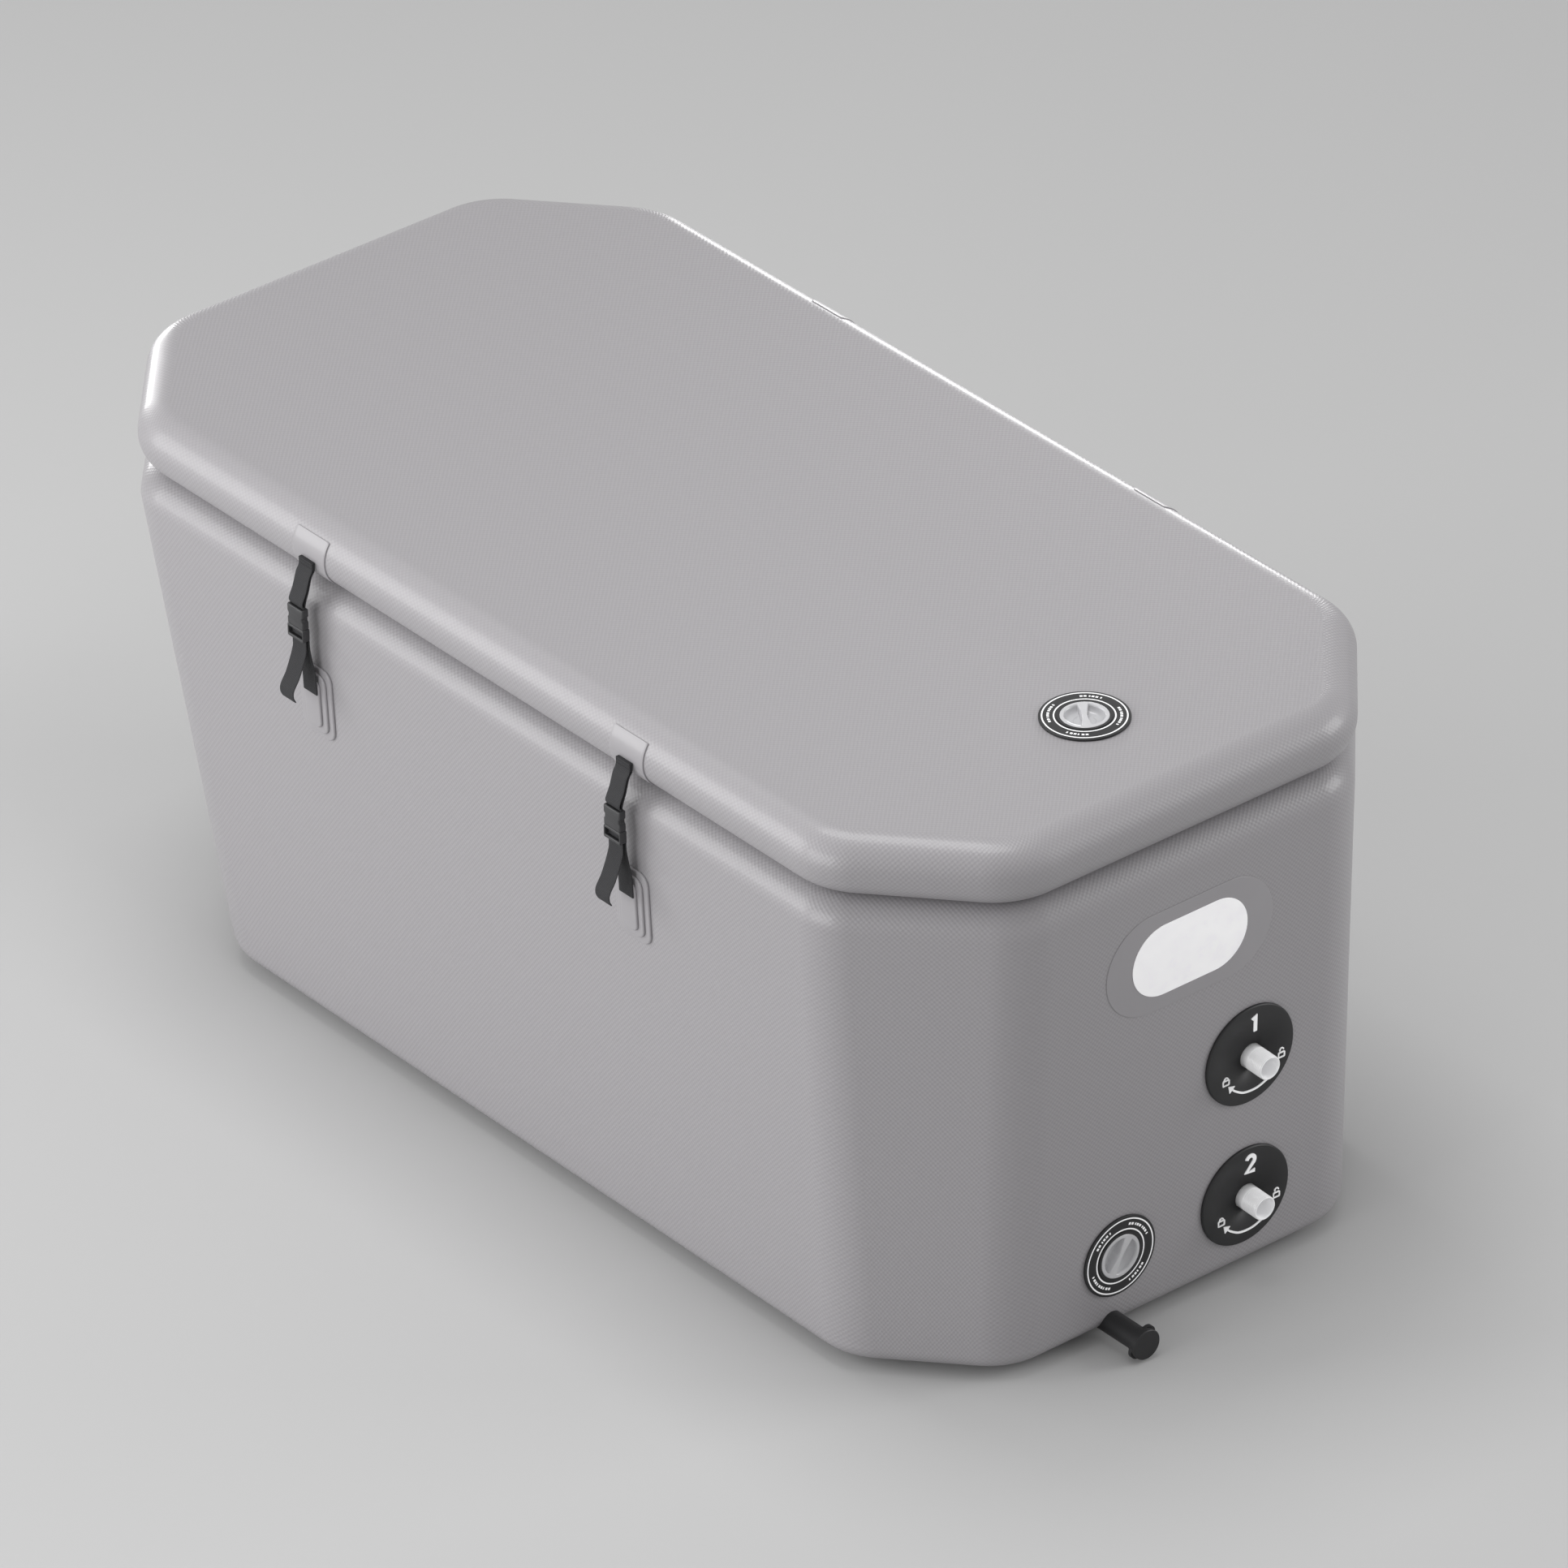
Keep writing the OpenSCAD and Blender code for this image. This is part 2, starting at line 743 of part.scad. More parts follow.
module lid_top_skin() {
    color("#a3a2a6")
        difference() {
            lid_loft([[lid_r, lid_r - lid_skin_t], [lid_r, lid_r]], false);
            on_lid_top(lid_valve_x)
                bore(barrel_d + 2 * seat, -lid_t / 4, cut);
        }
}

module lid_bottom_skin() {
    color("#b9b7bd")
        lid_loft([[lid_r, -lid_r], [lid_r, lid_skin_t - lid_r]], false);
}

module lid_edge_band() {
    color("#b0aeb3")
        lid_loft(concat(edge_arc(0, rim_n), reversed(edge_arc(lid_skin_t, rim_n))), true);
}

// Straps and patches: x places, and shapes in the plane across the front
module at_straps() {
    for (side = [-1, 1])
        translate([side * strap_x, 0, 0])
            children();
}

module across(width) {
    translate([-width / 2, 0, 0])
        rotate([90, 0, 90])
            linear_extrude(width)
                children();
}

// Arc strip around the lid edge, angles from straight up towards the front
module wrap_arc(from, to) {
    steps = 12;
    inner = lid_r + running;
    outer = inner + wrap_t;
    angles = [for (i = [0 : steps]) 90 + from + (to - from) * i / steps];
    translate([lid_r - lid_w / 2, lid_z + lid_r])
        polygon(concat([for (a = angles) [outer * cos(a), outer * sin(a)]],
            [for (a = reversed(angles)) [inner * cos(a), inner * sin(a)]]));
}

wrap_from = 51;
wrap_to = 150;
module lid_front_patches() {
    color("#a9a7ac")
        at_straps()
            across(patch_w)
                wrap_arc(wrap_from, wrap_to);
}

patch_corner_r = 16;
module patch_layer(k) {
    drop = k * patch_step;
    size = [patch_w - 2 * drop, patch_h - 2 * drop, patch_t];
    translate([0, 0, running + k * (patch_t + running)])
        rounded_box(size, min(patch_corner_r - k * patch_t, size[0] / 2 - 1));
}

module wall_patches() {
    at_straps()
        on_front_wall(0, patch_mid_z)
            for (k = [0 : 2])
                patch_layer(k);
}

module wall_front_patches() {
    color("#a5a3a8")
        wall_patches();
}

// Hinge flaps: one web over the back seam, split on the hinge axis
flap_t = 1;
hinge_z = lid_z - seat / 2;
hinge_y = lid_w / 2 + running + flap_t / 2;
flap_reach = 70;
// Each flap ends this far from the hinge axis, so that it can fold over it
fold_gap = flap_t / 2 + 2 * seat;
module lid_hinge_flaps() {
    top = lid_z + lid_r;
    color("#a5a3a8")
        mirror([0, 1, 0])
            at_straps()
                across(patch_w) {
                    wrap_arc(20, 90);
                    translate([-hinge_y - flap_t / 2, hinge_z + fold_gap])
                        square([flap_t, top - hinge_z - fold_gap]);
                }
}

module tub_hinge_flaps() {
    color("#a5a3a8")
        mirror([0, 1, 0]) {
            at_straps()
                across(patch_w)
                    translate([-hinge_y - flap_t / 2, pad_t + rim_z])
                        square([flap_t, hinge_z - fold_gap - pad_t - rim_z]);
            at_straps()
                on_front_wall(0, rim_z - flap_reach / 2)
                    translate([0, 0, running + rim_step])
                        rounded_box([patch_w, flap_reach, flap_t], 8);
        }
}
rim_step = 0.2;

// Webbing as a strip of even thickness along a list of points in the plane across the front
function along(p, i) = let(a = p[max(i - 1, 0)], b = p[min(i + 1, len(p) - 1)]) (b - a) / norm(b - a);
function edge_of(path, t, side) = [for (i = [0 : len(path) - 1])
    let(u = along(path, i))
    path[i] + side * [-u[1], u[0]] * t / 2];
module ribbon(path, t) {
    polygon(concat(edge_of(path, t, 1), reversed(edge_of(path, t, -1))));
}

// Buckle: its back face stands off the rim by a named gap, its top hangs below the lid edge
buckle_w = webbing_w + 2 * seat + 2 * buckle_side;
buckle_out = 20;
buckle_drop = 22;
buckle_r = 2;
buckle_y = -rim_half_w - buckle_out;
buckle_top = pad_t + tub_h - buckle_drop;
clip_top = buckle_top - socket_l - seat;
clip_bottom = clip_top - clip_l;
prong_l = 15;
prong_w = 4;
prong_x = 9.5;
slot_depth = 6;
catch_at = 5;
catch_h = 7;
window_h = 9;
window_sill = 4;
window_at = clip_bottom + window_sill;
bar_r = 1.6;
bar_z = window_at + window_h / 2;
bar_y = buckle_y + 3.3;
wrap_gap = bar_r + seat + webbing_t / 2;
anchor_out = running + 3 * (patch_t + running) + seat + webbing_t / 2;
anchor_z = patch_mid_z + 15;
function on_patch(z) = [-tub_dims(z)[2] - anchor_out, pad_t + z];

// The upper webbing is folded round the socket's bar: two layers, stitched together over the patch
stitched_l = 10;
module upper_webbing() {
    back_y = -lid_w / 2 - running - wrap_t - seat - webbing_t / 2;
    front_y = back_y - 2 * webbing_t;
    sewn_z = lid_z + lid_r - 5;
    front = [[front_y, sewn_z],
        [front_y - 0.4, sewn_z - stitched_l],
        [buckle_y + 9, buckle_top + 38],
        [buckle_y + 4, buckle_top + 22],
        [buckle_y - 1.5, buckle_top + 10],
        [buckle_y - 2.6, buckle_top + 6],
        [buckle_y - 1.8, buckle_top + 3],
        [buckle_y, buckle_top + 1.2],
        [buckle_y, buckle_top - slot_depth + cut]];
    back = [[back_y, sewn_z],
        [back_y, sewn_z - stitched_l],
        [buckle_y + 12, buckle_top + 38],
        [buckle_y + 7.5, buckle_top + 22],
        [buckle_y + 3.2, buckle_top + 10],
        [buckle_y + 1.6, buckle_top + 4],
        [buckle_y + webbing_t + 2 * running, buckle_top + 1.4]];
    color("#3c3c3e")
        across(webbing_w)
            polygon(concat(edge_of(front, webbing_t, -1),
                [for (i = [len(front) - 1 : -1 : 1]) edge_of(front, webbing_t, 1)[i]],
                [for (i = [1 : len(back) - 1]) edge_of(back, webbing_t, -1)[i]],
                reversed(edge_of(back, webbing_t, 1))));
}

module lower_webbing() {
    back = bar_y + wrap_gap;
    front = bar_y - wrap_gap;
    up = [on_patch(anchor_z),
        on_patch(anchor_z + 21),
        on_patch(anchor_z + 32) - [0.6, 0],
        [back, clip_bottom - 12],
        [back, bar_z]];
    over = [for (a = [30 : 30 : 150]) [bar_y + wrap_gap * cos(a), bar_z + wrap_gap * sin(a)]];
    down = [[front, bar_z],
        [front, clip_bottom - 6],
        [front - 1, clip_bottom - 18],
        [front - 11, clip_bottom - 44],
        [front - 20, clip_bottom - 59],
        [front - 21, clip_bottom - 68],
        [front - 18, clip_bottom - 75]];
    color("#3c3c3e")
        across(webbing_w)
            ribbon(concat(up, over, down), webbing_t);
}

module buckle_socket() {
    cavity_w = buckle_w - 2 * buckle_side;
    color("#2f2f31")
        difference() {
            translate([0, buckle_y, buckle_top - socket_l])
                rounded_box([buckle_w, buckle_t, socket_l], buckle_r);
            translate([-cavity_w / 2, buckle_y - buckle_t / 4, buckle_top - socket_l - cut])
                cube([cavity_w, buckle_t / 2, prong_l + 2 * cut]);
            translate([-cavity_w / 2, buckle_y - webbing_t / 2 - seat, buckle_top - slot_depth])
                cube([cavity_w, webbing_t + 2 * seat, slot_depth + cut]);
            for (side = [-1, 1])
                translate([side * buckle_w / 2 - buckle_side, buckle_y - buckle_t / 4,
                        buckle_top - socket_l + catch_at])
                    cube([2 * buckle_side, buckle_t / 2, catch_h]);
        }
}

module buckle_clip() {
    window_w = webbing_w + 2 * seat;
    prong_t = buckle_t / 2 - 2 * seat;
    color("#2f2f31") {
        difference() {
            translate([0, buckle_y, clip_bottom])
                rounded_box([buckle_w, buckle_t, clip_l], buckle_r);
            translate([-window_w / 2, buckle_y - buckle_t, window_at])
                cube([window_w, 2 * buckle_t, window_h]);
            translate([-window_w / 2, bar_y - wrap_gap - webbing_t, clip_bottom - cut])
                cube([window_w, buckle_t, window_at - clip_bottom + 2 * cut]);
        }
        translate([-window_w / 2 - buckle_side / 2, bar_y, bar_z])
            rotate([0, 90, 0])
                cylinder(r = bar_r, h = window_w + buckle_side, $fn = small);
        translate([0, buckle_y, clip_top - cut])
            for (x = [-prong_x, 0, prong_x])
                translate([x, 0, 0])
                    rounded_box([prong_w, prong_t, prong_l], prong_w / 4);
    }
}

module left() {
    translate([-strap_x, 0, 0])
        children();
}

module right() {
    translate([strap_x, 0, 0])
        children();
}

module port_a() {
    on_port_wall(port_y, port_a_z)
        children();
}

module port_b() {
    on_port_wall(port_y, port_b_z)
        children();
}

module wall_valve() {
    on_port_wall(wall_valve_y, wall_valve_z)
        children();
}

module lid_valve() {
    on_lid_top(lid_valve_x)
        children();
}

tub_core();
floor_core();
tub_outer_skin();
tub_inner_liner();
base_pad();
badge_patch();
badge_panel();
port_a() port_plate();  // port_a_plate
port_a() port_sleeve();  // port_a_sleeve
port_a() port_connector();  // port_a_connector
port_a() port_o_ring();  // port_a_o_ring
port_a() port_nut();  // port_a_nut
port_a() port_gasket();  // port_a_gasket
port_a() port_strainer();  // port_a_strainer
port_b() port_plate();  // port_b_plate
port_b() port_sleeve();  // port_b_sleeve
port_b() port_connector();  // port_b_connector
port_b() port_o_ring();  // port_b_o_ring
port_b() port_nut();  // port_b_nut
port_b() port_gasket();  // port_b_gasket
port_b() port_strainer();  // port_b_strainer
lid_valve() valve_flange();  // lid_valve_flange
lid_valve() valve_body();  // lid_valve_body
lid_valve() valve_nut();  // lid_valve_nut
lid_valve() valve_stem();  // lid_valve_stem
lid_valve() valve_spring();  // lid_valve_spring
lid_valve() valve_cap(lid_cap_turn);  // lid_valve_cap
lid_valve() valve_gasket();  // lid_valve_gasket
wall_valve() valve_flange();  // wall_valve_flange
wall_valve() valve_body();  // wall_valve_body
wall_valve() valve_nut();  // wall_valve_nut
wall_valve() valve_stem();  // wall_valve_stem
wall_valve() valve_spring();  // wall_valve_spring
wall_valve() valve_cap(wall_cap_turn);  // wall_valve_cap
wall_valve() valve_gasket();  // wall_valve_gasket
drain_inlet();
drain_strainer();
drain_pipe();
drain_cap();
drain_cap_washer();
lid_core();
lid_top_skin();
lid_bottom_skin();
lid_edge_band();
lid_front_patches();
wall_front_patches();
lid_hinge_flaps();
tub_hinge_flaps();
left() upper_webbing();  // upper_webbing_left
right() upper_webbing();  // upper_webbing_right
left() lower_webbing();  // lower_webbing_left
right() lower_webbing();  // lower_webbing_right
left() buckle_socket();  // buckle_socket_left
right() buckle_socket();  // buckle_socket_right
left() buckle_clip();  // buckle_clip_left
right() buckle_clip();  // buckle_clip_right
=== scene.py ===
import json
import math

import bmesh
import bpy
import numpy as np
from mathutils import Matrix, Vector


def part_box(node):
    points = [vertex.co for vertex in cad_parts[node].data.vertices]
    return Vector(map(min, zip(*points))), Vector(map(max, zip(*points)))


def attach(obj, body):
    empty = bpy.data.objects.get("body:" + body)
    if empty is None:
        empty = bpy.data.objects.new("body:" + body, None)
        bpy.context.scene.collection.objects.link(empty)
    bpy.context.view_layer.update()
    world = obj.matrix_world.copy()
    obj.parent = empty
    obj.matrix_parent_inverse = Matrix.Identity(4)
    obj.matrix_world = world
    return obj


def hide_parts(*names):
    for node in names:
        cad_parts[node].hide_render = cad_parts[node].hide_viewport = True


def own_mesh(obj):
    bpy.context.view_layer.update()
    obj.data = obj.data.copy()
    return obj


# Cold plunge tub with its lid: everything is in metres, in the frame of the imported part
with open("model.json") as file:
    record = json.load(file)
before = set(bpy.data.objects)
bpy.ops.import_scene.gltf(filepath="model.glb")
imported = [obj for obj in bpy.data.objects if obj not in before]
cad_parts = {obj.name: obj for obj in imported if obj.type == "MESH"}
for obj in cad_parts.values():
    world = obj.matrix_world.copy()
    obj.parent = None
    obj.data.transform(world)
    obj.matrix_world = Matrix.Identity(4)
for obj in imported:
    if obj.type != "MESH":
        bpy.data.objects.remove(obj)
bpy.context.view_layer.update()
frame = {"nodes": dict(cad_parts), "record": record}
nodes = frame["nodes"]
tau = 2 * math.pi
mm = 0.001
seat = 0.1 * mm  # gap left between two pieces that lie on each other


# Mesh tools
bothEnds = ("first", "last")  # a grid's first and last rows are closed with a face


def gridFaces(rows, cols):
    # quads between neighbouring rows and columns of a grid numbered row by row
    r, c = np.meshgrid(np.arange(rows - 1), np.arange(cols - 1), indexing="ij")
    a = (r * cols + c).ravel()
    return np.stack([a, a + 1, a + cols + 1, a + cols], 1)


def addObject(name, data):
    # an object of this data in the scene, at the origin
    item = bpy.data.objects.new(name, data)
    bpy.context.scene.collection.objects.link(item)
    return item


def makePiece(name, points, uv, faces, kind, body, *replaced, smooth=True):
    # vertices and faces into one mesh, of a finish and on a body, in place of the nodes named last; doubled seam
    # points merge and faces are turned outwards
    mesh = bpy.data.meshes.new(name)
    mesh.from_pydata(points.tolist(), [], [list(f) for f in faces])
    layer = mesh.uv_layers.new(name="UVMap")
    corners = np.empty(len(mesh.loops), dtype=np.int32)
    mesh.loops.foreach_get("vertex_index", corners)
    layer.data.foreach_set("uv", uv[corners].astype(np.float32).ravel())
    work = bmesh.new()
    work.from_mesh(mesh)
    bmesh.ops.remove_doubles(work, verts=work.verts, dist=2e-6)
    bmesh.ops.dissolve_degenerate(work, edges=work.edges, dist=1e-7)
    bmesh.ops.recalc_face_normals(work, faces=work.faces)
    work.to_mesh(mesh)
    work.free()
    mesh.polygons.foreach_set("use_smooth", np.full(len(mesh.polygons), smooth))
    mesh.materials.append(finish[kind])
    mesh.update()
    piece = addObject(name, mesh)
    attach(piece, body)
    if replaced:
        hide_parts(*replaced)
    return piece


def joinGrids(grids):
    # several (points, uv, faces) sets numbered one after the other
    allPoints, allUv, allFaces, start = [], [], [], 0
    for points, uv, faces in grids:
        allPoints.append(points)
        allUv.append(uv)
        allFaces += [tuple(int(i) + start for i in f) for f in faces]
        start += len(points)
    return np.concatenate(allPoints), np.concatenate(allUv), allFaces


def runLength(points):
    # distance travelled along a chain of points, nought at the first
    return np.concatenate([[0], np.cumsum(np.linalg.norm(np.diff(points, axis=0), axis=1))])


def gridSet(points, uv=None, caps=()):
    # a (rows, cols, 3) grid as a set; caps close the first or last row with one flat face
    rows, cols = points.shape[:2]
    if uv is None:
        uv = np.stack(np.meshgrid(runLength(points[rows // 2]), runLength(points[:, 0])), 2)
    faces = [tuple(f) for f in gridFaces(rows, cols)]
    if "first" in caps:
        faces.append(tuple(range(cols - 1)))
    if "last" in caps:
        faces.append(tuple(range((rows - 1) * cols, rows * cols - 1))[::-1])
    return points.reshape(-1, 3), uv.reshape(-1, 2), faces


def place(points, at):
    # local x, y and z times the place's across, up and outward ways, plus its origin
    across, up, out, origin = (np.asarray(v, float) for v in at)
    return points[..., :1] * across + points[..., 1:2] * up + points[..., 2:3] * out + origin


def revolve(profile, steps=96):
    # a profile of (radius, height) points turned about the height axis, in local axes
    profile = np.asarray(profile, float)
    turn = np.linspace(0, tau, steps + 1)
    return np.stack([profile[:, :1] * np.cos(turn), profile[:, :1] * np.sin(turn),
                     np.repeat(profile[:, 1:], steps + 1, 1)], 2)


def smoothStep(t):
    # 0 to 1 with level ends: 3 t squared minus 2 t cubed
    t = np.clip(t, 0, 1)
    return t * t * (3 - 2 * t)


def smoothPath(points, steps=8):
    # Catmull-Rom curve through the points
    p = np.asarray(points, float)
    p = np.concatenate([2 * p[:1] - p[1:2], p, 2 * p[-1:] - p[-2:-1]])
    t = np.linspace(0, 1, steps + 1)[:-1, None]
    parts = [0.5 * (2 * b + (c - a) * t + (2 * a - 5 * b + 4 * c - d) * t ** 2 + (3 * b - a - 3 * c + d) * t ** 3)
             for a, b, c, d in zip(p, p[1:], p[2:], p[3:])]
    return np.concatenate(parts + [p[-2:-1]])


def atHeight(points, z):
    # (x, y) points with one z added
    return np.column_stack([points, np.full(len(points), z)])


def arcPoints(centre, radius, start, end, steps):
    # centre plus radius times cosine and sine, from start to end in degrees
    a = np.radians(np.linspace(start, end, steps + 1))
    return np.stack([centre[0] + radius * np.cos(a), centre[1] + radius * np.sin(a)], 1)


def rounded(corners, radius, steps=5):
    # an open chain with each inner corner rounded: a parabola from one side to the other, pulled to the corner
    corners = np.asarray(corners, float)
    radii = np.broadcast_to(radius, len(corners))
    out = [corners[:1]]
    for before, here, after, r in zip(corners, corners[1:], corners[2:], radii[1:]):
        a = (before - here) / np.linalg.norm(before - here)
        b = (after - here) / np.linalg.norm(after - here)
        half = 0.5 * math.acos(float(np.clip(a @ b, -1, 1)))
        reach = min(r / max(math.tan(half), 1e-6), 0.49 * np.linalg.norm(before - here),
                    0.49 * np.linalg.norm(after - here))
        t = np.linspace(0, 1, steps + 1)[:, None]
        p, q = here + a * reach, here + b * reach
        out.append((1 - t) ** 2 * p + 2 * t * (1 - t) * here + t ** 2 * q)
    out.append(corners[-1:])
    return np.concatenate(out)


# Materials
def newMaterial(name, color, roughness, specular=0.5, coat=0.0, coatRoughness=0.03):
    # one principled surface, with a clear coat where coat is above nought
    material = bpy.data.materials.new(name)
    material.use_nodes = True
    tree = material.node_tree
    shader = tree.nodes["Principled BSDF"]
    shader.inputs["Base Color"].default_value = (*color, 1)
    shader.inputs["Roughness"].default_value = roughness
    shader.inputs["Specular IOR Level"].default_value = specular
    shader.inputs["Coat Weight"].default_value = coat
    shader.inputs["Coat Roughness"].default_value = coatRoughness
    return material, tree, shader


def addNode(tree, kind, **inputs):
    # inputs go by name, or as i0, i1 by number; a socket is linked and anything else is its value
    new = tree.nodes.new(kind)
    for key, value in inputs.items():
        socket = new.inputs[int(key[1:])] if key[0] == "i" and key[1:].isdigit() else new.inputs[key]
        if isinstance(value, bpy.types.NodeSocket):
            tree.links.new(value, socket)
        else:
            socket.default_value = value
    return new


def mathNode(tree, operation, a, b=0.0):
    # a and b, either of them a socket or a number, through one operation
    new = addNode(tree, "ShaderNodeMath", i0=a, i1=b)
    new.operation = operation
    return new.outputs[0]


def objectNoise(tree, scale, detail=2.0):
    # cloudy noise on the object's own coordinates, scale patches to the metre
    coords = tree.nodes.new("ShaderNodeTexCoord")
    noise = addNode(tree, "ShaderNodeTexNoise", Vector=coords.outputs["Object"], Scale=scale, Detail=detail)
    return noise.outputs["Fac"]


def mottled(tree, shader, color, amount, scale):
    # the base colour drifts lighter and darker by amount, in patches of a size set by scale
    ramp = tree.nodes.new("ShaderNodeValToRGB")
    ramp.color_ramp.elements[0].position = 0.3
    ramp.color_ramp.elements[1].position = 0.7
    ramp.color_ramp.elements[0].color = (*[c * (1 - amount) for c in color], 1)
    ramp.color_ramp.elements[1].color = (*[min(1, c * (1 + amount)) for c in color], 1)
    tree.links.new(objectNoise(tree, scale, 3.0), ramp.inputs["Fac"])
    tree.links.new(ramp.outputs["Color"], shader.inputs["Base Color"])


def bumped(tree, shader, height):
    # the height, in metres, tilts the surface's normal
    bump = addNode(tree, "ShaderNodeBump", Height=height, Distance=1.0, Strength=1.0)
    tree.links.new(bump.outputs["Normal"], shader.inputs["Normal"])


def uvSplit(tree, scaleU, scaleV):
    # the two run lengths of the piece's own map, each times its scale
    uv = tree.nodes.new("ShaderNodeUVMap")
    uv.uv_map = "UVMap"
    parts = addNode(tree, "ShaderNodeSeparateXYZ", Vector=uv.outputs["UV"]).outputs
    return mathNode(tree, "MULTIPLY", parts["X"], scaleU), mathNode(tree, "MULTIPLY", parts["Y"], scaleV)


# the table also sets the share of painted shade in the dimples' hollows and painted light on their crowns
pvc = dict(color=(0.322, 0.311, 0.3245), roughness=0.42, coat=0.22, coatRoughness=0.14, pitch=6.3 * mm,
           dimple=0.28 * mm, paintedDimpleShading=0.07, grain=0.02 * mm, grainScale=900.0)
# the webbing's low and high weave colours are painted shade and painted light
webbing = dict(color=(0.050, 0.050, 0.053), rib=1.6 * mm, yarn=1.1 * mm, relief=0.25 * mm, paintedHollowShade=0.55, paintedCrownLight=1.3)


def pvcMaterial(name, color, roughness, dimple):
    # drop-stitch cloth under a smooth coat: sine of u times sine of v, so the dimples of a row lie between those of the
    # next; their colour is painted shade in the hollows and painted light on the crowns
    material, tree, shader = newMaterial(name, color, roughness, 0.5, pvc["coat"], pvc["coatRoughness"])
    height = mathNode(tree, "MULTIPLY", objectNoise(tree, pvc["grainScale"]), pvc["grain"])
    if dimple:
        u, v = uvSplit(tree, tau / pvc["pitch"], tau / pvc["pitch"])
        waves = mathNode(tree, "MULTIPLY", mathNode(tree, "SINE", u), mathNode(tree, "SINE", v))
        level = mathNode(tree, "ADD", 0.5, mathNode(tree, "MULTIPLY", waves, 0.5))
        # painted shade in the dimples' hollows and painted light on their crowns, mixed by the dimples' height
        paintedDimpleShading = addNode(tree, "ShaderNodeMix", Factor=level)
        paintedDimpleShading.data_type, paintedDimpleShading.blend_type = "RGBA", "MIX"
        # the colour sockets of this node have the numbers 6 and 7, and 2 on the way out
        paintedDimpleShading.inputs[6].default_value = (*[c * (1 - pvc["paintedDimpleShading"]) for c in color], 1)
        paintedDimpleShading.inputs[7].default_value = (*[c * (1 + pvc["paintedDimpleShading"]) for c in color], 1)
        tree.links.new(paintedDimpleShading.outputs[2], shader.inputs["Base Color"])
        height = mathNode(tree, "ADD", mathNode(tree, "MULTIPLY", waves, 0.5 * dimple), height)
    else:
        mottled(tree, shader, color, 0.02, 9.0)
    bumped(tree, shader, height)
    return material


def plasticMaterial(name, color, roughness, grain, scale=1500.0, coat=0.0, paintedGlow=0.0):
    # moulded plastic with a fine grain; its glow is painted light, an emission in the part's own colour that makes it
    # brighter than its lighting does
    material, tree, shader = newMaterial(name, color, roughness, coat=coat)
    shader.inputs["Emission Color"].default_value = (*color, 1)
    shader.inputs["Emission Strength"].default_value = paintedGlow
    mottled(tree, shader, color, 0.04, 60.0)
    bumped(tree, shader, mathNode(tree, "MULTIPLY", objectNoise(tree, scale), grain))
    return material


def webbingMaterial(name, color):
    # woven strap: ribs run across it, and the yarns of one rib lie half a step from the next
    material, tree, shader = newMaterial(name, color, 0.75, specular=0.25)
    u, v = uvSplit(tree, tau / webbing["yarn"], tau / webbing["rib"])
    halfV = mathNode(tree, "MULTIPLY", v, 0.5)
    ribs, yarns = (mathNode(tree, "ABSOLUTE", mathNode(tree, "SINE", turn))
                   for turn in (halfV, mathNode(tree, "ADD", u, halfV)))
    weave = mathNode(tree, "MULTIPLY", ribs, yarns)
    bumped(tree, shader, mathNode(tree, "MULTIPLY", weave, webbing["relief"]))
    # the colour is painted shade where the weave lies low and painted light where it stands high
    ramp = tree.nodes.new("ShaderNodeValToRGB")
    ramp.color_ramp.elements[0].color = (*[c * webbing["paintedHollowShade"] for c in color], 1)
    ramp.color_ramp.elements[1].color = (*[c * webbing["paintedCrownLight"] for c in color], 1)
    tree.links.new(weave, ramp.inputs["Fac"])
    tree.links.new(ramp.outputs["Color"], shader.inputs["Base Color"])
    return material


def metalMaterial(name, color, roughness):
    # bare wire, slightly uneven in tone
    material, tree, shader = newMaterial(name, color, roughness)
    shader.inputs["Metallic"].default_value = 1.0
    mottled(tree, shader, color, 0.05, 200.0)
    return material


finish = {
    "grey_pvc": pvcMaterial("greyPvc", pvc["color"], pvc["roughness"], pvc["dimple"]),
    "liner_pvc": pvcMaterial("linerPvc", (0.36, 0.353, 0.37), 0.45, pvc["dimple"]),
    "patch_pvc": pvcMaterial("patchPvc", (0.325, 0.314, 0.328), 0.40, 0.0),
    "drop_stitch": pvcMaterial("threadCore", (0.62, 0.61, 0.64), 0.9, pvc["dimple"]),
    "pad_foam": plasticMaterial("padFoam", (0.05, 0.05, 0.055), 0.9, 0.1 * mm, 400.0),
    # the glow on the white panel, the white plastic and the white print is painted light
    "white_panel": plasticMaterial("whitePanel", (0.97, 0.96, 0.985), 0.25, 0.002 * mm, coat=0.6, paintedGlow=0.15),
    "webbing": webbingMaterial("strapWebbing", webbing["color"]),
    "buckle_plastic": plasticMaterial("bucklePlastic", (0.035, 0.035, 0.037), 0.42, 0.02 * mm),
    "spring_steel": metalMaterial("springSteel", (0.6, 0.6, 0.62), 0.3),
    "seal_rubber": plasticMaterial("sealRubber", (0.02, 0.02, 0.022), 0.7, 0.01 * mm),
    "white_plastic": plasticMaterial("whitePlastic", (0.95, 0.95, 0.96), 0.25, 0.006 * mm, coat=0.4, paintedGlow=0.06),
    "frosted_cap": plasticMaterial("frostedCap", (0.56, 0.56, 0.575), 0.3, 0.006 * mm, coat=0.5),
    "black_plastic": plasticMaterial("blackPlastic", (0.016, 0.016, 0.017), 0.5, 0.03 * mm),
    "white_print": plasticMaterial("whitePrint", (0.95, 0.95, 0.96), 0.5, 0.004 * mm, paintedGlow=0.12),
}
# two finishes have no slot of their own
slotOf = {part["node"]: part["material_slot"] for part in frame["record"]["subparts"]}
for nodeName, node in nodes.items():
    for holder in node.material_slots:
        holder.material = finish[slotOf[nodeName]]
print("materials made")


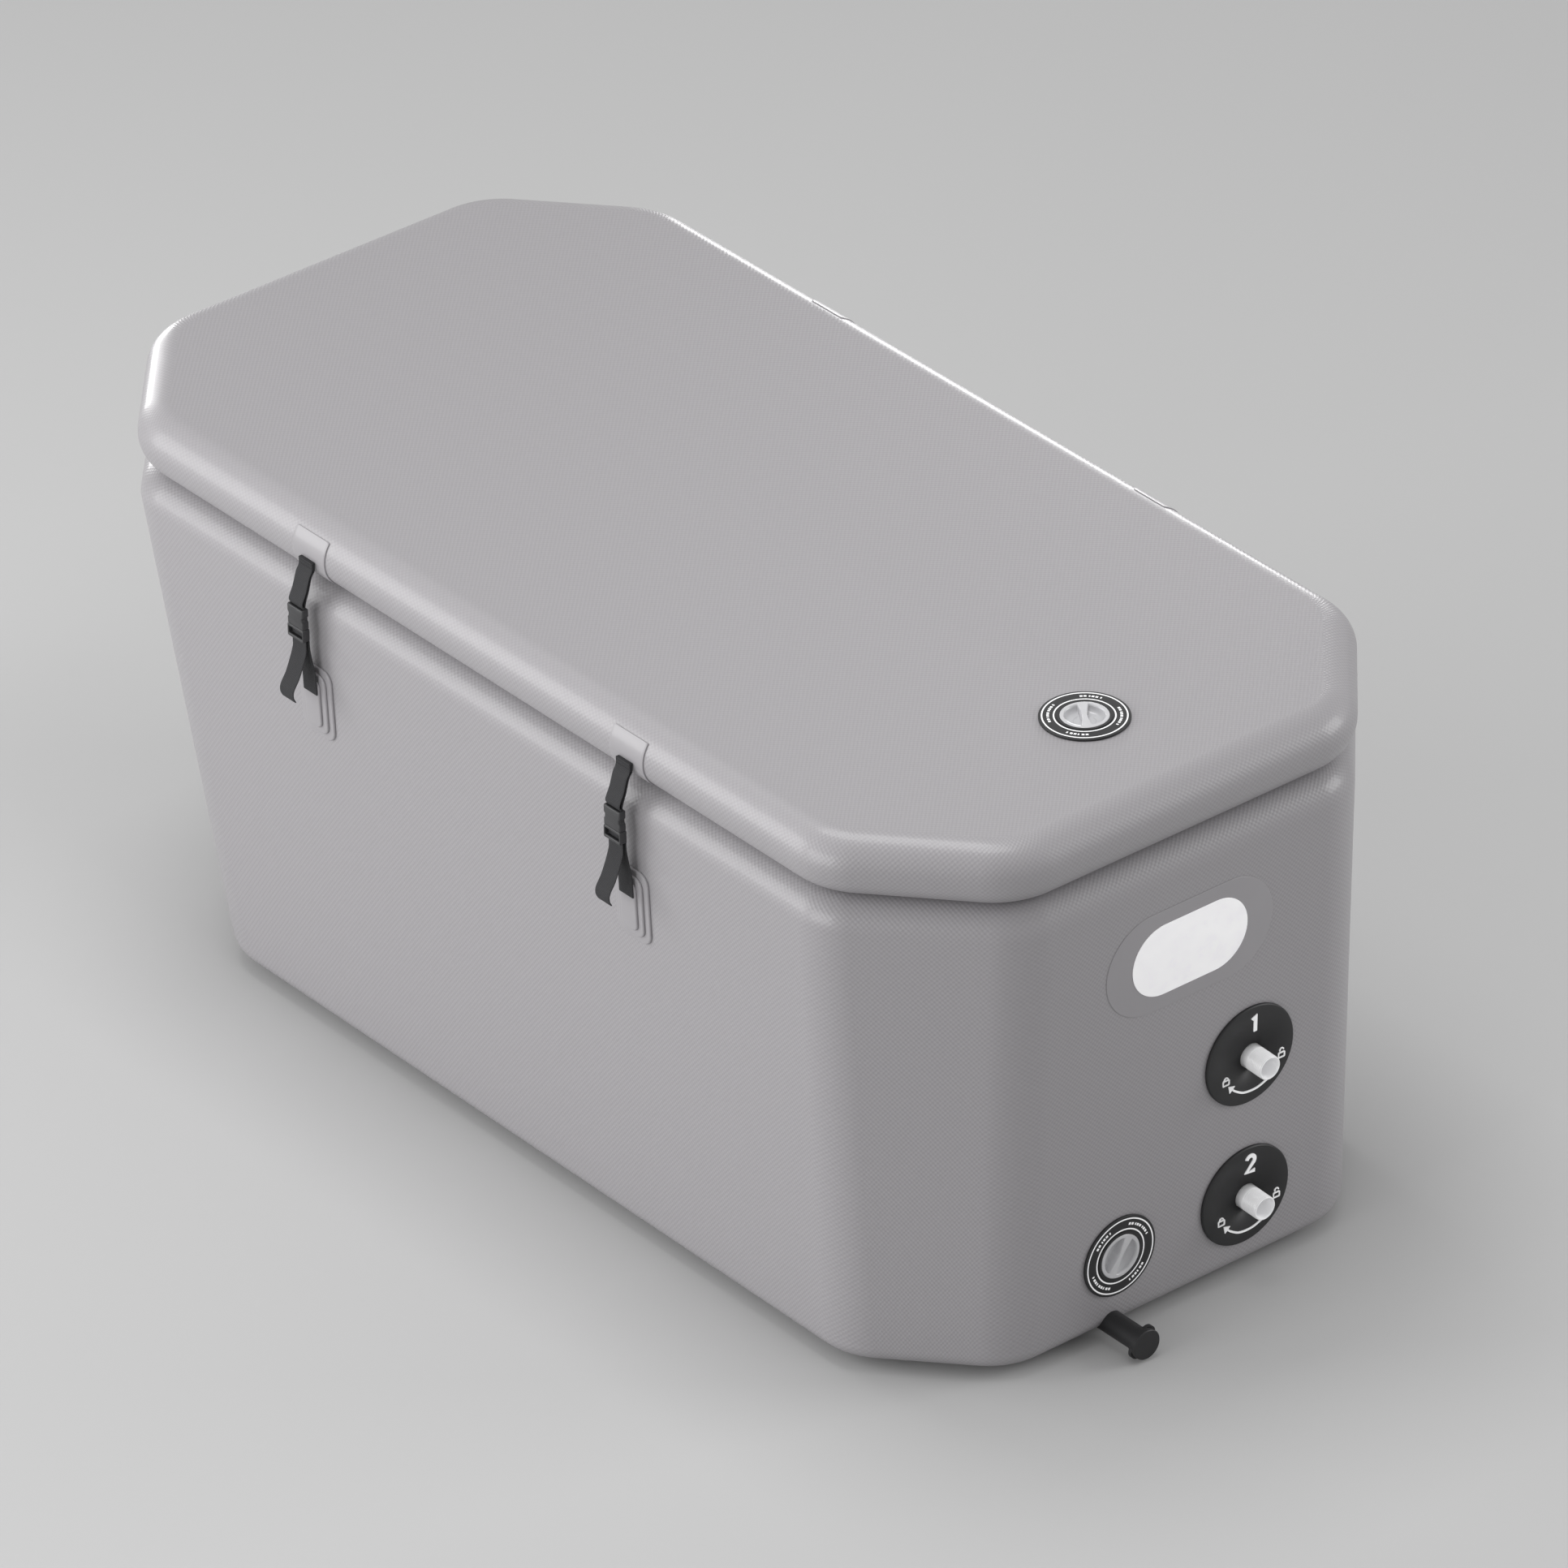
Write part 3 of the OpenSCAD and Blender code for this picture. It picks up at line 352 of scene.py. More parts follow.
# Plan outline of the tub and the lid, as rings of points
outline = dict(cornerSteps=14, sideSteps=10)
lidLo, lidHi = (np.array(v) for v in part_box("lid_edge_band"))
skinLo, skinHi = (np.array(v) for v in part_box("tub_outer_skin"))
tub = dict(bottom=skinLo[2], top=skinHi[2], wall=78 * mm, floor=50 * mm, footInset=23 * mm, headRun=149.5 * mm,
           footCut=(145 * mm, 129 * mm), rimCut=(175 * mm, 156 * mm), cornerR=93 * mm, footR=23 * mm, skin=1.5 * mm)
lid = dict(low=lidLo[2], high=lidHi[2], cut=(175 * mm, 153 * mm), cornerR=110 * mm)
lid["r"] = (lid["high"] - lid["low"]) / 2
lid["mid"] = (lid["low"] + lid["high"]) / 2
lid["dims"] = np.array([lidHi[0], -lidLo[0], lidHi[1], *lid["cut"]])
tub["rimR"] = tub["wall"] / 2
tub["rimZ"] = tub["top"] - tub["rimR"]
rimDims = np.array([skinHi[0], -skinLo[0], skinHi[1], *tub["rimCut"]])
footDims = np.array([skinHi[0] - tub["footInset"], -skinLo[0] - tub["headRun"], skinHi[1] - tub["footInset"],
                     *tub["footCut"]])


def tubDims(z):
    # the plan's sizes at a height: a straight blend from the foot's to the rim's
    t = min(max((z - tub["bottom"]) / (tub["rimZ"] - tub["bottom"]), 0.0), 1.0)
    return footDims + t * (rimDims - footDims)


def outlineRing(dims, radius, inset, z):
    # eight corner arcs about fixed centres, joined by straight sides; the ring closes on its first point
    port, head, half, cutX, cutY = dims
    a = math.atan2(cutY, cutX)
    ax = cutX - radius * (1 - math.tan(a / 2))
    ay = cutY - radius * (1 - math.tan((math.pi / 2 - a) / 2))
    x, h, y = port - radius, radius - head, half - radius
    centres = [(x - ax, -y), (x, ay - y), (x, y - ay), (x - ax, y),
               (h + ax, y), (h, y - ay), (h, ay - y), (h + ax, -y)]
    b = 90 - math.degrees(a)
    spans = [(-90, -b), (-b, 0), (0, b), (b, 90), (90, 180 - b), (180 - b, 180), (180, 180 + b), (180 + b, 270)]
    arcs = [arcPoints(c, radius - inset, s, e, outline["cornerSteps"]) for c, (s, e) in zip(centres, spans)]
    ring = []
    for arc, after in zip(arcs, arcs[1:] + arcs[:1]):
        t = np.linspace(0, 1, outline["sideSteps"] + 1)[1:-1, None]
        ring += [arc, arc[-1] * (1 - t) + after[0] * t]
    return atHeight(np.concatenate(ring + [arcs[0][:1]]), z)


def ringStack(profile, dimsAt, radius):
    # rings for a profile of (inset, height), one row each; u runs along the outline, v down the profile
    points = np.stack([outlineRing(dimsAt(z), radius, inset, z) for inset, z in profile])
    return points, np.stack(np.meshgrid(runLength(points[len(points) // 2]), runLength(np.asarray(profile))), 2)


def archArc(r, depth, base, start, end, steps):
    # half-round edge as (inset, height): a circle of radius r less the depth under the surface
    a = np.radians(np.linspace(start, end, steps + 1))
    return np.stack([r - (r - depth) * np.cos(a), base + (r - depth) * np.sin(a)], 1)


def punch(piece, at, radius, low, high, sharp=0.7):
    # takes a round hole out of a piece along the place's outward way; edges bent by sharp radians stay crisp
    across, up, out, origin = (np.array(v, float) for v in at)
    turn = Matrix(np.column_stack([across, up, out]).tolist()).to_4x4()
    work = bmesh.new()
    bmesh.ops.create_cone(work, cap_ends=True, segments=96, radius1=radius, radius2=radius, depth=high - low,
                          matrix=Matrix.Translation(Vector(origin + out * (low + high) / 2)) @ turn)
    tool = addObject("holeTool", bpy.data.meshes.new("holeTool"))
    work.to_mesh(tool.data)
    cut = piece.modifiers.new("hole", "BOOLEAN")
    cut.operation, cut.solver, cut.object = "DIFFERENCE", "EXACT", tool
    holed = bpy.data.meshes.new_from_object(piece.evaluated_get(bpy.context.evaluated_depsgraph_get()))
    piece.modifiers.remove(cut)
    work.clear()
    work.from_mesh(holed)
    for edge in work.edges:
        edge.smooth = edge.calc_face_angle(0.0) < sharp
    work.to_mesh(holed)
    work.free()
    whole, piece.data = piece.data, holed
    for mesh in (whole, tool.data):
        bpy.data.meshes.remove(mesh)


def makeTub():
    # skin and liner: each a profile of foot, side and rim, out and back again one skin further in, round the outline
    z0, rimZ, r, wall, skin = tub["bottom"], tub["rimZ"], tub["rimR"], tub["wall"], tub["skin"]
    footR, footZ = tub["footR"], z0 + tub["footR"]
    rows = np.linspace(footZ, rimZ, 14)[1:-1]
    sideOut, sideIn = (np.stack([np.full_like(rows, inset), rows], 1) for inset in (0, skin))
    outer = np.concatenate([archArc(footR, 0, footZ, -90, 0, 12), sideOut, archArc(r, 0, rimZ, 0, 90, 18)])
    inner = np.concatenate([archArc(footR, skin, footZ, -90, 0, 6), sideIn, archArc(r, skin, rimZ, 0, 90, 8)])
    points, uv = ringStack(np.concatenate([outer, inner[::-1]]), tubDims, tub["cornerR"])
    shell = makePiece("tubSkin", *gridSet(points, uv, bothEnds), "grey_pvc", "tub", "tub_outer_skin")
    down = np.linspace(rimZ, z0 + tub["floor"], 12)[1:]
    water = np.concatenate([archArc(r, 0, rimZ, 90, 180, 18), np.stack([np.full_like(down, wall), down], 1)])
    under = down - skin * (down == down[-1])
    back = np.concatenate([archArc(r, skin, rimZ, 90, 180, 8), np.stack([np.full_like(down, wall - skin), under], 1)])
    points, uv = ringStack(np.concatenate([back[::-1], water]), tubDims, tub["cornerR"])
    return shell, makePiece("tubLiner", *gridSet(points, uv, bothEnds), "liner_pvc", "tub", "tub_inner_liner")


def makeLid():
    # one closed skin: flat underside, half-round edge and flat top, which are mapped in plan
    edge = archArc(lid["r"], 0, lid["mid"], -90, 90, 32)
    points, uv = ringStack(edge, lambda z: lid["dims"], lid["cornerR"])
    sets = [gridSet(points, uv)]
    for row, z in ((points[0], lid["low"]), (points[-1], lid["high"])):
        flat = row[:-1].copy()
        face = tuple(range(len(flat))) if z == lid["high"] else tuple(range(len(flat)))[::-1]
        sets.append((flat, flat[:, :2], [face]))
    return makePiece("lidSkin", *joinGrids(sets), "grey_pvc", "lid", "lid_top_skin", "lid_edge_band",
                     "lid_bottom_skin")


skins = [*makeTub(), makeLid()]
print("tub and lid made")

# Places on the walls: (across, up, out, origin). Across runs to the right as one faces the wall.
lean = math.atan(tub["footInset"] / (tub["rimZ"] - tub["bottom"]))
portOut = np.array([math.cos(lean), 0, -math.sin(lean)])
portUp = np.array([math.sin(lean), 0, math.cos(lean)])
frontOut = np.array([0, -math.cos(lean), -math.sin(lean)])
frontUp = np.array([0, -math.sin(lean), math.cos(lean)])


def onPortWall(y, z):
    # a point on the port end's outer face, at a height over the foot
    return (0, 1, 0), portUp, portOut, (tubDims(tub["bottom"] + z)[0], y, tub["bottom"] + z)


def onFrontWall(x, z):
    # the same on the wall that carries the straps
    return (1, 0, 0), frontUp, frontOut, (x, -tubDims(tub["bottom"] + z)[2], tub["bottom"] + z)


ports = dict(sleeveR=23 * mm, y=94.5 * mm, heights=dict(a=296 * mm, b=102 * mm), plateR=65 * mm, plateT=4 * mm,
             spigotR=15.25 * mm, boreR=13 * mm, reach=37.7 * mm, ribs=9, ribPitch=2.6 * mm, ribDepth=0.85 * mm,
             shankR=17.9 * mm, shankLow=-40 * mm, skinHole=(-20 * mm, 5 * mm), linerHole=(-100 * mm, -60 * mm))
portMarks = dict(lift=1.1 * mm, numberAt=(5 * mm, 42.5 * mm), numberHigh=22 * mm, numberLine=5.0 * mm, lock=10.5 * mm,
                 openAt=(46.5 * mm, -16.5 * mm), shutAt=(-36.5 * mm, -20.5 * mm), arrowLine=2.4 * mm, head=8.5 * mm,
                 arrow=((26, -43.5), (10, -48.5), (-8, -47.5), (-20.5, -41), (-26.5, -36)), tip=(-32.7, -29.6),
                 tipWay=(-6.2, 6.6))
valve = dict(x=616 * mm, wallY=-93 * mm, wallZ=100 * mm, flangeR=52.5 * mm, flangeT=2.8 * mm, barrelR=30 * mm,
             inkR=(48.4 * mm, 35 * mm), inkT=0.15 * mm, inkLine=1.7 * mm, dashR=41.6 * mm, dashLine=3.0 * mm,
             dashStep=6.2, dashRuns=((20, 9), (112, 6), (196, 9), (290, 6)), lidHole=(-45 * mm, 5 * mm),
             wallHole=(-20 * mm, 5 * mm))
cap = dict(r=28.5 * mm, low=0.0, top=4.0 * mm, edgeR=1.2 * mm, bowlR=24 * mm, bowlWall=7 * mm, floor=-6 * mm,
           step=(12.5 * mm, 0.9 * mm), bottom=-9 * mm, skirtR=24.8 * mm, barMiddle=3.2 * mm, barEnd=6.6 * mm,
           barSlope=1.1 * mm, turn=dict(lid=-35.0, wall=61.0))
spring = dict(wire=0.6 * mm, coils=3, travel=5 * mm)


def ringProfile(inner, outer, low, high, edge):
    # closed section of a flat ring with rounded upper edges
    return rounded([(inner, low), (inner, high), (outer, high), (outer, low), (inner, low)], edge)


def turned(name, profile, at, kind, body, node, steps=96):
    # the profile turned about the outward way; mapped by the arc at its widest and the run of the profile
    profile = np.asarray(profile)
    around = np.linspace(0, tau, steps + 1) * profile[:, 0].max()
    uv = np.stack(np.meshgrid(around, runLength(profile)), 2)
    return makePiece(name, *gridSet(place(revolve(profile, steps), at), uv), kind, body, node)


def stroke(path, width, low, high, at, closed=False):
    # a raised line in the wall's plane: the path moved half a width to either side, from low to high
    path = np.asarray(path, float)
    if closed:
        ahead, behind = np.roll(path, -1, 0), np.roll(path, 1, 0)
    else:
        ahead = np.concatenate([path[1:], path[-1:]])
        behind = np.concatenate([path[:1], path[:-1]])
    way = ahead - behind
    way /= np.linalg.norm(way, axis=1)[:, None]
    side = np.stack([-way[:, 1], way[:, 0]], 1) * width / 2
    sections = np.stack([atHeight(path + s * side, h)
                         for s, h in ((-1, low), (-1, high), (1, high), (1, low), (-1, low))], 1)
    if closed:
        sections = np.concatenate([sections, sections[:1]])
    return gridSet(place(sections, at), None, () if closed else bothEnds)


def arrowHead(tip, way, size, low, high, at):
    # a raised triangle: the tip, and two corners one size behind it
    way = np.asarray(way, float) / np.linalg.norm(way)
    side = np.array([-way[1], way[0]])
    corners = np.array([tip, tip - way * size + side * size * 0.62, tip - way * size - side * size * 0.62])
    loop = np.concatenate([corners, corners[:1]])
    return gridSet(place(np.stack([atHeight(loop, h) for h in (low, high)]), at), None, bothEnds)


def padlock(centre, size, opened, low, high, at):
    # generic lock mark: a square ring body with a shackle that is shut or swung up
    cx, cy = centre
    half = size * 0.42
    body = [(cx - half, cy - size * 0.5), (cx + half, cy - size * 0.5), (cx + half, cy + size * 0.12),
            (cx - half, cy + size * 0.12)]
    lift = size * 0.22 if opened else 0.0
    shackle = arcPoints((cx, cy + size * 0.2 + lift), size * 0.27, 0 if opened else -8, 200 if opened else 188, 10)
    return [stroke(rounded(body + body[:1], size * 0.1, 3)[:-1], size * 0.16, low, high, at, closed=True),
            stroke(shackle, size * 0.14, low, high, at)]


def numeral(which, centre, height, width, low, high, at):
    # a one is a flag and a stem; a two is an arc, a slant and a foot
    cx, cy = centre
    h = height / 2
    if which == "1":
        strokes = [[(cx - 0.45 * h, cy + 0.55 * h), (cx, cy + h), (cx, cy - h)]]
    else:
        bowl = arcPoints((cx, cy + 0.45 * h), 0.55 * h, 165, -35, 12)
        strokes = [np.concatenate([bowl, [(cx - 0.6 * h, cy - h), (cx + 0.62 * h, cy - h)]])]
    return [stroke(s, width, low, high, at) for s in strokes]


def makePort(letter, mark):
    # plate with its printed marks, and the spigot that turns in it, both turned profiles
    at = onPortWall(ports["y"], ports["heights"][letter])
    top, plateR, r, b, reach = (ports[k] for k in ("plateT", "plateR", "spigotR", "boreR", "reach"))
    hole = r + 0.5 * mm
    profile = rounded([(hole, seat), (hole, top), (plateR - 1.2 * mm, top), (plateR, top - 1.2 * mm), (plateR, seat),
                       (hole, seat)], [0, 0, 0.4 * mm, 0.8 * mm, 0.5 * mm, 0])
    label = "port" + letter.upper()
    turned(label + "Plate", profile, at, "black_plastic", "tub", f"port_{letter}_plate", 128)
    ink = top - seat, top + portMarks["lift"], at
    marks = numeral(mark, portMarks["numberAt"], portMarks["numberHigh"], portMarks["numberLine"], *ink)
    marks += padlock(portMarks["openAt"], portMarks["lock"], True, *ink)
    marks += padlock(portMarks["shutAt"], portMarks["lock"], False, *ink)
    marks.append(stroke(smoothPath(np.array(portMarks["arrow"]) * mm), portMarks["arrowLine"], *ink))
    marks.append(arrowHead(np.array(portMarks["tip"]) * mm, portMarks["tipWay"], portMarks["head"], *ink))
    makePiece(label + "Marks", *joinGrids(marks), "white_print", "tub", smooth=False)
    # saw teeth: a sharp crest, a long slope down and a short one back up
    teeth = ((0.0, 0.0), (0.12, 0.0), (0.55, 0.7), (0.7, 1.0), (0.85, 1.0))
    ribFrom = reach - ports["ribs"] * ports["ribPitch"] - 1.0 * mm
    ribs = [(r - ports["ribDepth"] * depth, ribFrom + (i + s) * ports["ribPitch"])
            for i in range(ports["ribs"]) for s, depth in teeth]
    shankR, low = ports["shankR"], ports["shankLow"]
    shank = [(shankR, low), (shankR, -1 * mm), (r - 0.6 * mm, -1 * mm), (r - 0.6 * mm, top + 0.2 * mm),
             (r, top + 0.2 * mm)]
    mouth = [(r - 0.2 * mm, reach - 0.8 * mm), (r - 0.8 * mm, reach), (b + 0.4 * mm, reach), (b, reach - 0.4 * mm)]
    turned(label + "Spigot", shank + ribs + mouth + [(b, low), (shankR, low)], at, "white_plastic",
           f"port_{letter}_twist_connector", f"port_{letter}_connector")


def makeValve(which, at, body, capBody):
    # black flange with two printed rings, dashed arcs between them and a twist cap
    top = seat + valve["flangeT"]
    section = ringProfile(valve["barrelR"] + seat, valve["flangeR"], seat, top, 0.8 * mm)
    turned(which + "ValveFlange", section, at, "black_plastic", body, which + "_valve_flange", 128)
    ink = top - seat, top + valve["inkT"], at
    marks = [stroke(arcPoints((0, 0), r, 0, 360 - 360 / 128, 127), valve["inkLine"], *ink, closed=True)
             for r in valve["inkR"]]
    # every third dash is a short one
    for start, count in valve["dashRuns"]:
        for i in range(count):
            a = start + i * valve["dashStep"]
            dash = arcPoints((0, 0), valve["dashR"], a, a + (4.4 if i % 3 else 2.6), 4)
            marks.append(stroke(dash, valve["dashLine"], *ink))
    makePiece(which + "ValveMarks", *joinGrids(marks), "white_print", body, smooth=False)
    makeCap(which, at, capBody)


def makeCap(which, at, body):
    # height over a disc: a rounded rim, a bowl with one step, and a bar across it, narrow in the middle
    rim, topZ, floorZ, bowlR, edgeR, wall = (cap[k] for k in ("r", "top", "floor", "bowlR", "edgeR", "bowlWall"))
    fineR = bowlR - 6 * mm
    radii = np.concatenate([np.linspace(0, fineR, 34), np.linspace(fineR, bowlR, 16)[1:],
                            np.linspace(bowlR, rim - edgeR, 6)[1:],
                            rim - edgeR + edgeR * np.sin(np.linspace(0, math.pi / 2, 6))[1:]])
    turn = np.linspace(0, tau, 321)
    r, a = np.meshgrid(radii, turn, indexing="ij")
    x, y = r * np.cos(a), r * np.sin(a)
    # the bowl's wall is a quarter ellipse; a ring step stands round its middle
    wallIn = np.clip((r - (bowlR - wall)) / wall, 0, 1)
    bowl = floorZ + (topZ - floorZ) * (1 - np.sqrt(np.clip(1 - wallIn ** 2, 0, 1)))
    bowl += cap["step"][1] * smoothStep((r - cap["step"][0]) / (1.0 * mm)) * (1 - wallIn)
    edge = np.clip((r - (rim - edgeR)) / edgeR, 0, 1)
    bowl -= edgeR * (1 - np.sqrt(np.clip(1 - edge ** 2, 0, 1)))
    tilt = math.radians(cap["turn"][which])
    lengthwise = x * math.cos(tilt) + y * math.sin(tilt)
    sideways = -x * math.sin(tilt) + y * math.cos(tilt)
    halfWidth = cap["barMiddle"] + (cap["barEnd"] - cap["barMiddle"]) * (np.abs(lengthwise) / bowlR) ** 1.5
    bar = smoothStep((halfWidth - np.abs(sideways)) / cap["barSlope"] + 0.5) * (r < rim - edgeR)
    height = bowl * (1 - bar) + np.maximum(bowl, topZ) * bar
    skirt = np.array([(rim, cap["low"] + 0.3 * mm), (rim - 0.3 * mm, cap["low"]), (cap["skirtR"], cap["low"]),
                      (cap["skirtR"], cap["bottom"]), (0.0, cap["bottom"])])
    points = np.concatenate([np.stack([x, y, height], 2), revolve(skirt, 320)])
    uv = np.stack(np.meshgrid(turn * rim, runLength(points[:, 0])), 2)
    makePiece(which + "ValveCap", *gridSet(place(points, at), uv), "frosted_cap", body, which + "_valve_cap")


def makeSpring(which, at, body):
    # a round wire carried along a helix under the stem's head
    low, high = (np.array(v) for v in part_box("lid_valve_spring"))
    wire = spring["wire"]
    radius = (high[0] - low[0]) / 2 - wire
    foot, head = low[2] - lid["high"], high[2] - lid["high"]
    t, s = np.meshgrid(np.linspace(0, 1, 145), np.linspace(0, tau, 13), indexing="ij")
    out, a = radius + wire * np.cos(s), spring["coils"] * tau * t
    height = foot + wire + (head - foot - 2 * wire) * t + wire * np.sin(s)
    points = place(np.stack([out * np.cos(a), out * np.sin(a), height], 2), at)
    piece = makePiece(which + "ValveSpring", *gridSet(points, None, bothEnds), "spring_steel", body,
                      which + "_valve_spring")
    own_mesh(piece)


makePort("a", "1")
makePort("b", "2")
lidTop = ((1, 0, 0), (0, 1, 0), (0, 0, 1), (valve["x"], 0, lid["high"]))
makeValve("lid", lidTop, "lid", "lid_cap")
wallSpot = onPortWall(valve["wallY"], valve["wallZ"])
makeValve("wall", wallSpot, "tub", "wall_cap")
makeSpring("lid", lidTop, "lid")
makeSpring("wall", wallSpot, "tub")
punch(skins[2], lidTop, valve["barrelR"] + seat, *valve["lidHole"])
punch(skins[0], wallSpot, valve["barrelR"] + seat, *valve["wallHole"])
for portZ in ports["heights"].values():
    for skin, depth in zip(skins, (ports["skinHole"], ports["linerHole"])):
        punch(skin, onPortWall(ports["y"], portZ), ports["sleeveR"] + seat, *depth)
print("ports and valves made")

# Flat pieces welded on the skins
badge = dict(z=482 * mm, panel=(170 * mm, 94 * mm), patch=(246 * mm, 132 * mm), patchT=0.8 * mm, panelT=0.8 * mm)


def raised(ways, centres, radius, low, high, edge):
    # rings about the centres: straight up the side, then a quarter round of radius edge onto the top
    rows = [(radius, low)] + [(radius - edge * (1 - math.cos(a)), high - edge + edge * math.sin(a))
                              for a in np.radians(np.linspace(0, 90, 6))]
    grid = np.stack([atHeight(centres + ways * reach, z) for reach, z in rows])
    return np.concatenate([grid, grid[:, :1]], 1)


def pill(size, low, high, edge):
    # stadium: two half circles about the ends of its middle line
    length, width = size
    ends = length / 2 - width / 2
    ways = np.concatenate([arcPoints((0, 0), 1, start, start + 180, 32) for start in (-90, 90)])
    return raised(ways, np.repeat([(ends, 0), (-ends, 0)], 33, 0), width / 2, low, high, edge)


def roundedPad(size, radius, low, high, edge):
    # rounded rectangle: four quarter circles about its corners' centres
    w, h = size[0] / 2 - radius, size[1] / 2 - radius
    ways = np.concatenate([arcPoints((0, 0), 1, start, start + 90, 10) for start in (-90, 0, 90, 180)])
    return raised(ways, np.repeat([(w, -h), (w, h), (-w, h), (-w, -h)], 11, 0), radius, low, high, edge)


def makeBadge():
    # the white panel on its thin grey backing
    at, top = onPortWall(0, badge["z"]), seat + badge["patchT"]
    patch = pill(badge["patch"], seat, top, 0.7 * mm)
    makePiece("badgePatch", *gridSet(place(patch, at), None, bothEnds), "patch_pvc", "tub", "badge_patch")
    panel = pill(badge["panel"], top + seat, top + seat + badge["panelT"], 0.5 * mm)
    makePiece("badgePanel", *gridSet(place(panel, at), None, bothEnds), "white_panel", "tub", "badge_panel")


straps = dict(x=292 * mm, width=25.4 * mm, thick=1.5 * mm, slack=1.45, patchWidth=60 * mm, patchHeight=96 * mm,
              layer=3 * mm, step=8 * mm, patchZ=464 * mm, wrap=1.5 * mm, wrapArc=(51, 150))
hinge = dict(thick=1 * mm, foldGap=0.9 * mm, lidArc=(20, 90), reach=70 * mm)


def bentSheet(path, width, thick, corners, bevel=0.4 * mm):
    # a welded patch carried along a path (y, z): its edges are bevelled and its end corners rounded
    path = np.asarray(path, float)
    length = runLength(path)
    ends = np.array([0, 0.25, 0.6, 1.0]) * bevel
    arcs = [corner * (1 - np.cos(np.linspace(0.15, math.pi / 2, 9))) for corner in corners if corner > bevel]
    stops = [length, ends, length[-1] - ends]
    stops += [a if corners[0] > bevel and i == 0 else length[-1] - a for i, a in enumerate(arcs)]
    at = np.unique(np.concatenate(stops).round(7))
    spine = np.stack([np.interp(at, length, path[:, 0]), np.interp(at, length, path[:, 1])], 1)
    way = np.gradient(spine, at, axis=0)
    way /= np.linalg.norm(way, axis=1)[:, None]
    normal = np.stack([way[:, 1], -way[:, 0]], 1)
    half = np.full(len(at), width / 2)
    for corner, rest in zip(corners, (at, at[-1] - at)):
        half -= corner - np.sqrt(np.clip(corner ** 2 - np.clip(corner - rest, 0, corner) ** 2, 0, None))
    across = np.concatenate([np.linspace(0, 1, 9)[:-1] * (half[:, None] - bevel), half[:, None] - ends[::-1]], 1)
    across = np.concatenate([-across[:, :0:-1], across], 1)
    edge = np.minimum(np.minimum(half[:, None] - np.abs(across), at[:, None]), (at[-1] - at)[:, None])
    lift = thick * (0.2 + 0.8 * np.sqrt(np.clip(1 - (1 - np.clip(edge / bevel, 0, 1)) ** 2, 0, 1)))
    layers = [np.concatenate([across[..., None], spine[:, None] + normal[:, None] * h[..., None]], 2)
              for h in (np.zeros_like(across), lift)]
    return np.concatenate([layers[0], layers[1][:, ::-1], layers[0][:, :1]], 1)


def lidArc(start, end, steps=40):
    # along the lid's round front edge, angles from straight up towards the front
    a = np.radians(90 + np.linspace(start, end, steps + 1))
    r = lid["r"] + seat
    return np.stack([lid["r"] - lid["dims"][2] + r * np.cos(a), lid["mid"] + r * np.sin(a)], 1)


def patchPiece(name, grids, node, body):
    # several closed grids of welded cloth as one piece
    makePiece(name, *joinGrids([gridSet(g, None, bothEnds) for g in grids]), "patch_pvc", body, node)


def makePatches():
    # wraps on the lid's front edge, hinge flaps at the back and stacked pads under the straps
    sides, wide = (-straps["x"], straps["x"]), straps["patchWidth"]
    wrap = bentSheet(lidArc(*straps["wrapArc"]), wide, straps["wrap"], (2 * mm, 10 * mm))
    patchPiece("lidFrontPatches", [wrap + [x, 0, 0] for x in sides], "lid_front_patches", "lid")
    # the hinge web is split on its axis: one flap turns with the lid, the other stays on the tub
    thick, gap, rimZ, mirror = hinge["thick"], hinge["foldGap"], tub["rimZ"], np.array([1, -1, 1])
    face = -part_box("lid_hinge_flaps")[1][1] + thick
    axis = (lid["low"] + tub["top"]) / 2
    upper = np.concatenate([lidArc(*hinge["lidArc"]), [(face, lid["mid"] - 1 * mm), (face, axis + gap)]])
    flap = bentSheet(upper, wide, thick, (6 * mm, 0.5 * mm)) * mirror
    patchPiece("lidHingeFlaps", [flap + [x, 0, 0] for x in sides], "lid_hinge_flaps", "lid")
    foot = rimZ - hinge["reach"]
    wallY = [-tubDims(z)[2] - 0.3 * mm for z in (rimZ - 6 * mm, foot)]
    lower = [(face, axis - gap), (face, rimZ + 4 * mm), (wallY[0], rimZ - 6 * mm), (wallY[1], foot)]
    flap = bentSheet(rounded(lower, 12 * mm), wide, thick, (0.5 * mm, 8 * mm)) * mirror
    patchPiece("tubHingeFlaps", [flap + [x, 0, 0] for x in sides], "tub_hinge_flaps", "tub")
    layers = []
    for x in sides:
        at = onFrontWall(x, straps["patchZ"])
        for k in range(3):
            low = seat + k * (straps["layer"] + seat)
            size = (wide - 2 * k * straps["step"], straps["patchHeight"] - 2 * k * straps["step"])
            layers.append(place(roundedPad(size, 15 * mm - k * 3 * mm, low, low + straps["layer"], 2.0 * mm), at))
    patchPiece("wallFrontPatches", layers, "wall_front_patches", "tub")


def makeBasePad():
    # the pad keeps its solid's channel for the drain pipe; its edges are eased
    mesh = nodes["base_pad"].data.copy()
    work = bmesh.new()
    work.from_mesh(mesh)
    bmesh.ops.remove_doubles(work, verts=work.verts, dist=1e-5)
    work.to_mesh(mesh)
    work.free()
    mesh.materials.clear()
    mesh.materials.append(finish["pad_foam"])
    pad = addObject("basePad", mesh)
    ease = pad.modifiers.new("ease", "BEVEL")
    ease.width, ease.segments, ease.limit_method = 2 * mm, 2, "ANGLE"
    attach(pad, "tub")
    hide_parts("base_pad")


